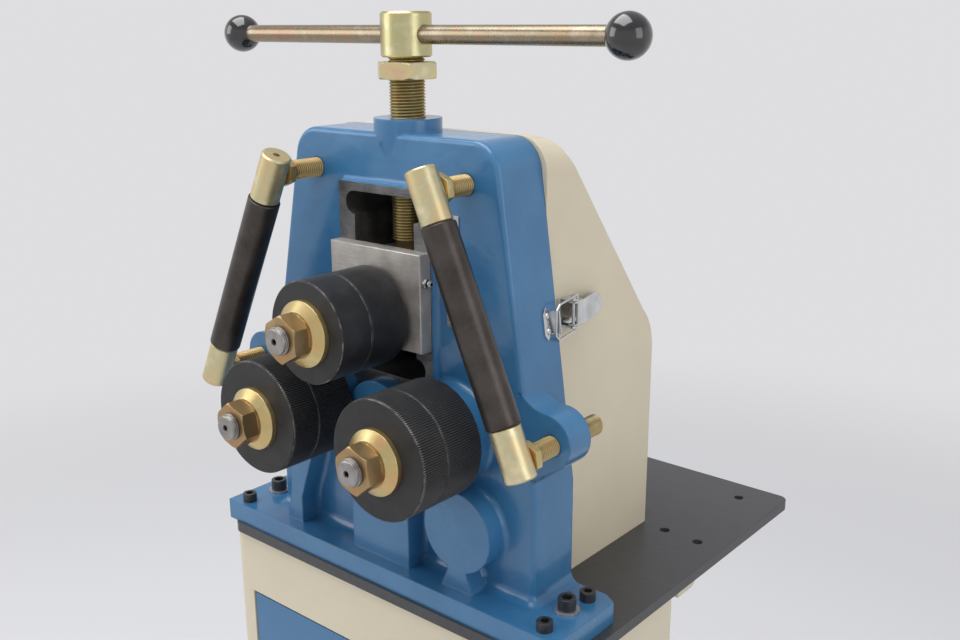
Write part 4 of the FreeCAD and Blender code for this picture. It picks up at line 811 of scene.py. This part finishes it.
# %% [markdown]
# ## Threads
# A thread could be drawn as stacked rings, but rings have no lead. A screw is made here
# as it is cut: the zigzag of one pitch is spun round the axis and lifted by one pitch a
# turn, so each turn's top edge meets the next turn's bottom edge. Two cuts square off
# the ends.

# %% Turned and threaded forms
SEAM_MERGE = 0.00001
SPUN_MERGE = 0.000005
THREAD_DEPTH = 0.54
# Shares of the pitch at which the crest ends, the root starts and the root ends
CREST_END, ROOT_START, ROOT_END = 0.12, 0.50, 0.62


def thread_form(radius, pitch, length, per_turn=40):
    """A bmesh of threaded rod along +Z from the origin, closed at both ends."""
    form = bmesh.new()
    root = radius - THREAD_DEPTH * pitch
    marks = ((0.0, radius), (CREST_END, radius), (ROOT_START, root), (ROOT_END, root),
             (1.0, radius))
    points = [form.verts.new((r, 0, share * pitch)) for share, r in marks]
    line = [form.edges.new(pair) for pair in zip(points, points[1:])]
    turns = math.ceil(length / pitch) + 3
    bmesh.ops.spin(form, geom=points + line, cent=(0, 0, 0), axis=(0, 0, 1),
                   dvec=(0, 0, pitch / per_turn), angle=2 * math.pi * turns,
                   steps=per_turn * turns)
    bmesh.ops.translate(form, verts=form.verts, vec=(0, 0, -1.5 * pitch))
    bmesh.ops.remove_doubles(form, verts=form.verts, dist=SEAM_MERGE)
    for height, outward in ((0.0, -1), (length, 1)):
        everything = form.verts[:] + form.edges[:] + form.faces[:]
        bmesh.ops.bisect_plane(form, geom=everything, plane_co=(0, 0, height),
                               plane_no=(0, 0, outward), clear_outer=True)
        rim = [e for e in form.edges if e.is_boundary and abs(e.verts[0].co.z - height) < 1e-6]
        bmesh.ops.holes_fill(form, edges=rim, sides=0)
    bmesh.ops.recalc_face_normals(form, faces=form.faces)
    return form


def spun_form(profile, steps=64):
    """A closed solid of revolution about +Z from (height, radius) points."""
    form = bmesh.new()
    points = [form.verts.new((radius, 0, height)) for height, radius in profile]
    line = [form.edges.new(pair) for pair in zip(points, points[1:])]
    bmesh.ops.spin(form, geom=points + line, cent=(0, 0, 0), axis=(0, 0, 1),
                   angle=2 * math.pi, steps=steps, use_merge=True)
    bmesh.ops.remove_doubles(form, verts=form.verts, dist=SPUN_MERGE)
    bmesh.ops.recalc_face_normals(form, faces=form.faces)
    return form


def place_at(form, place, degrees=0, axis="X"):
    """Turn a form about an axis through the origin, and move it to a place."""
    turn = Matrix.Rotation(math.radians(degrees), 3, axis)
    bmesh.ops.rotate(form, verts=form.verts, cent=(0, 0, 0), matrix=turn)
    bmesh.ops.translate(form, verts=form.verts, vec=place)
    return form


def lay_along_y(form, x, z, y_start):
    """Turn a form drawn along +Z to run along +Y from a place."""
    return place_at(form, (x, y_start, z), -90)


print("thread depth", THREAD_DEPTH, "of the pitch")

# %% Feed screw
SCREW_PITCH = 0.003
SCREW_THREAD_BOTTOM = 1.078
SCREW_THREAD_LENGTH = 0.178
# Heights and radii of the end that turns in the slide: foot, neck and collar
SCREW_FOOT = ((1.040, 0), (1.040, 0.0145), (1.0525, 0.0145), (1.0525, 0.010),
              (1.0663, 0.010), (1.0663, 0.015), (1.0779, 0.0155), (1.0779, 0))
# Heights and radii of the plain end inside the handle's hub
SCREW_SPIGOT = ((1.2561, 0), (1.2561, 0.0149), (1.267, 0.0149), (1.267, 0))

screw_forms = [place_at(thread_form(SCREW_RADIUS, SCREW_PITCH, SCREW_THREAD_LENGTH),
                        (0, SCREW_Y, SCREW_THREAD_BOTTOM))]
for profile in (SCREW_FOOT, SCREW_SPIGOT):
    screw_forms.append(place_at(spun_form(profile), (0, SCREW_Y, 0)))
feed = piece_from("feed_screw_thread", screw_forms, screw_zinc, "feed_screw")
print("feed screw faces", len(feed.data.polygons))

# %% Guide studs
STUD_PITCH = 0.0025
STUD_FRONT_GAP = 0.002
UPPER_STUD_REAR = -0.030
LOWER_STUD_REAR = 0.000

for side, (front, upper, lower) in GUIDES.items():
    start = front + STUD_FRONT_GAP
    forms = [lay_along_y(thread_form(STUD_RADIUS, STUD_PITCH, rear - start, 32), x, z, start)
             for (x, z), rear in ((upper, UPPER_STUD_REAR), (lower, LOWER_STUD_REAR))]
    studs = piece_from(side + "_stud_threads", forms, stud_zinc[side], side + "_guide_studs")
    print(studs.name, "faces", len(studs.data.polygons))

# %% [markdown]
# ## Shafts
# Each roll's shaft is turned from one bar: a nose with a centre hole and a thread for the
# nut, a seat for the rings, a shoulder, a journal and a seat for its gear. Heights and
# radii are spun round the axis, as a lathe would cut them.

# %% Roll shafts
NOSE_PITCH = 0.002
NOSE_LENGTH = 0.030
# Distances from the tip, and radii: centre hole, face, chamfer and plain tip
NOSE_FACE = ((0.006, 0), (0.006, 0.0012), (0.0015, 0.0018), (0, 0.0036), (0, 0.0112),
             (0.0012, 0.0126), (PLAIN_TIP, 0.0129), (PLAIN_TIP, 0))
CORE_RADIUS = 0.0134
SEAT_RADIUS = 0.015
SEAT_CHAMFER = 0.002
SHOULDER_RADIUS = 0.023
SHOULDER_LENGTH = 0.006
JOURNAL_RADIUS = 0.018
GEAR_SEAT_RADIUS = 0.014
GEAR_SEAT_LENGTH = 0.021
SHOULDER_Y = {"left": -0.1013, "right": -0.1013, "top": -0.0984}
JOURNAL_END_Y = {"left": -0.004, "right": -0.004, "top": -0.0195}


def roll_shaft(side):
    """A roll's shaft: nose with its centre hole, thread, ring seat, shoulder and journal."""
    x, _, z = ROLL_AXES[side]
    tip, front = NOSE_TIP[side], ROLL_FRONT[side]
    back, journal_end = SHOULDER_Y[side], JOURNAL_END_Y[side]
    start = tip + PLAIN_TIP + NOSE_LENGTH
    face = [(tip + distance, radius) for distance, radius in NOSE_FACE]
    rest = [(start, 0), (start, CORE_RADIUS), (front, CORE_RADIUS),
            (front + SEAT_CHAMFER, SEAT_RADIUS), (back, SEAT_RADIUS),
            (back, SHOULDER_RADIUS), (back + SHOULDER_LENGTH, SHOULDER_RADIUS),
            (back + SHOULDER_LENGTH, JOURNAL_RADIUS), (journal_end, JOURNAL_RADIUS),
            (journal_end, GEAR_SEAT_RADIUS), (journal_end + GEAR_SEAT_LENGTH, GEAR_SEAT_RADIUS),
            (journal_end + GEAR_SEAT_LENGTH, 0)]
    thread = thread_form(NOSE_RADIUS, NOSE_PITCH, NOSE_LENGTH)
    return [lay_along_y(thread, x, z, tip + PLAIN_TIP), lay_along_y(spun_form(face), x, z, 0.0),
            lay_along_y(spun_form(rest), x, z, 0.0)]


for side in ROLL_AXES:
    shaft = piece_from(side + "_shaft_turned", roll_shaft(side), bright_end[side],
                       side + "_shaft")
    print(shaft.name, "faces", len(shaft.data.polygons))

# %% [markdown]
# ## Grease nipple
# A grease nipple is a small turned fitting: a collar, a neck and a round head with a
# hollow for its ball. It is spun from its outline, and its neck and hollow are painted
# darker as shade. Its shank goes into the slide plate's edge.

# %% Turn the grease nipple
NIPPLE_PLACE = (0.062, -0.086, 1.049)
# Distances from the plate's edge, and radii: shank, collar, neck, head and hollow
NIPPLE_OUTLINE = ((-0.008, 0), (-0.008, 0.0025), (0, 0.0025), (0, 0.0052),
                  (0.0030, 0.0052), (0.0036, 0.0045), (0.0042, 0.0027), (0.0052, 0.0026),
                  (0.0062, 0.0038), (0.0072, 0.0038), (0.0088, 0.0022), (0.0088, 0.0013),
                  (0.0074, 0.0010), (0.0074, 0))

nipple_steel = ground_metal("nipple_steel", (0.30, 0.30, 0.31), (0.50, 0.50, 0.51), 0.30,
                            (1, 1, 1))
nipple_radius, nipple_along = about_axis(nipple_steel, NIPPLE_PLACE, "X")
hollow = combine(nipple_steel, beyond(nipple_steel, nipple_radius, 0.0020, 0.0014),
                 beyond(nipple_steel, nipple_along, 0.0070, 0.0074))
neck = near(nipple_steel, nipple_along, 0.0048, 0.0010)
# Painted shade: the nipple's hollow and neck are darkened.
neck_and_hollow_shade = combine(nipple_steel, hollow, neck, "MAXIMUM")
show_through(nipple_steel, neck_and_hollow_shade, (0.025, 0.024, 0.023))

nipple_form = place_at(spun_form(NIPPLE_OUTLINE, 32), NIPPLE_PLACE, 90, "Y")
nipple = piece_from("grease_nipple_turned", [nipple_form], nipple_steel, "grease_nipple")
print(nipple.name, "faces", len(nipple.data.polygons))

# %% [markdown]
# ## Knurled rings
# The lower rolls grip the bar with fine straight flutes. A bump map would show no teeth
# at the rim, where the photograph shows them worn bright. So each ring is a circle whose
# alternate points are drawn in, and the circle is extruded along the roll, down the
# chamfers and back through the bore.

# %% Knurl the lower rings
FLUTES = 160
RING_BORE = 0.015
RING_CHAMFER = 0.0015
KNURL_SMOOTH_BELOW = 12.0


def fluted_ring(x, z, y_start, y_end):
    """A bored ring with straight flutes round its wall, about a Y axis."""
    form = bmesh.new()
    first = bmesh.ops.create_circle(form, segments=2 * FLUTES, radius=LOWER_ROLL_RADIUS)["verts"]
    for vert in first[::2]:
        vert.co *= (LOWER_ROLL_RADIUS - KNURL_DEPTH) / LOWER_ROLL_RADIUS
    face_radius = LOWER_ROLL_RADIUS - RING_CHAMFER
    stations = ((y_end - RING_CHAMFER, None), (y_end, face_radius), (y_end, RING_BORE),
                (y_start, RING_BORE), (y_start, face_radius), (y_start + RING_CHAMFER, None))
    bmesh.ops.translate(form, verts=first, vec=(0, 0, y_start + RING_CHAMFER))
    fluted = [v.co.to_2d() for v in first]
    edges = form.edges[:]
    for height, ring_radius in stations:
        made = bmesh.ops.extrude_edge_only(form, edges=edges)["geom"]
        edges = [g for g in made if isinstance(g, bmesh.types.BMEdge)]
        for vert in (g for g in made if isinstance(g, bmesh.types.BMVert)):
            way = vert.co.to_2d().normalized()
            if ring_radius is None:
                flat = min(fluted, key=lambda p: (p.normalized() - way).length_squared)
            else:
                flat = way * ring_radius
            vert.co = (flat.x, flat.y, height)
    bmesh.ops.remove_doubles(form, verts=form.verts, dist=SEAM_MERGE)
    bmesh.ops.recalc_face_normals(form, faces=form.faces)
    return lay_along_y(form, x, z, 0.0)


for side in ("left", "right"):
    x, _, z = ROLL_AXES[side]
    spans = (("front", ROLL_FRONT[side], ROLL_SEAM[side]),
             ("rear", ROLL_SEAM[side], SHOULDER_Y[side]))
    for part, start, end in spans:
        node = side + "_" + part + "_ring"
        ring = piece_from(node + "_knurled", [fluted_ring(x, z, start, end)],
                          knurled_roll[side], node, KNURL_SMOOTH_BELOW)
        print(ring.name, "faces", len(ring.data.polygons))

# %% [markdown]
# ## Colour view
# The scene is shown through the Standard view transform.

# %% Standard view transform
bpy.context.scene.view_settings.view_transform = "Standard"
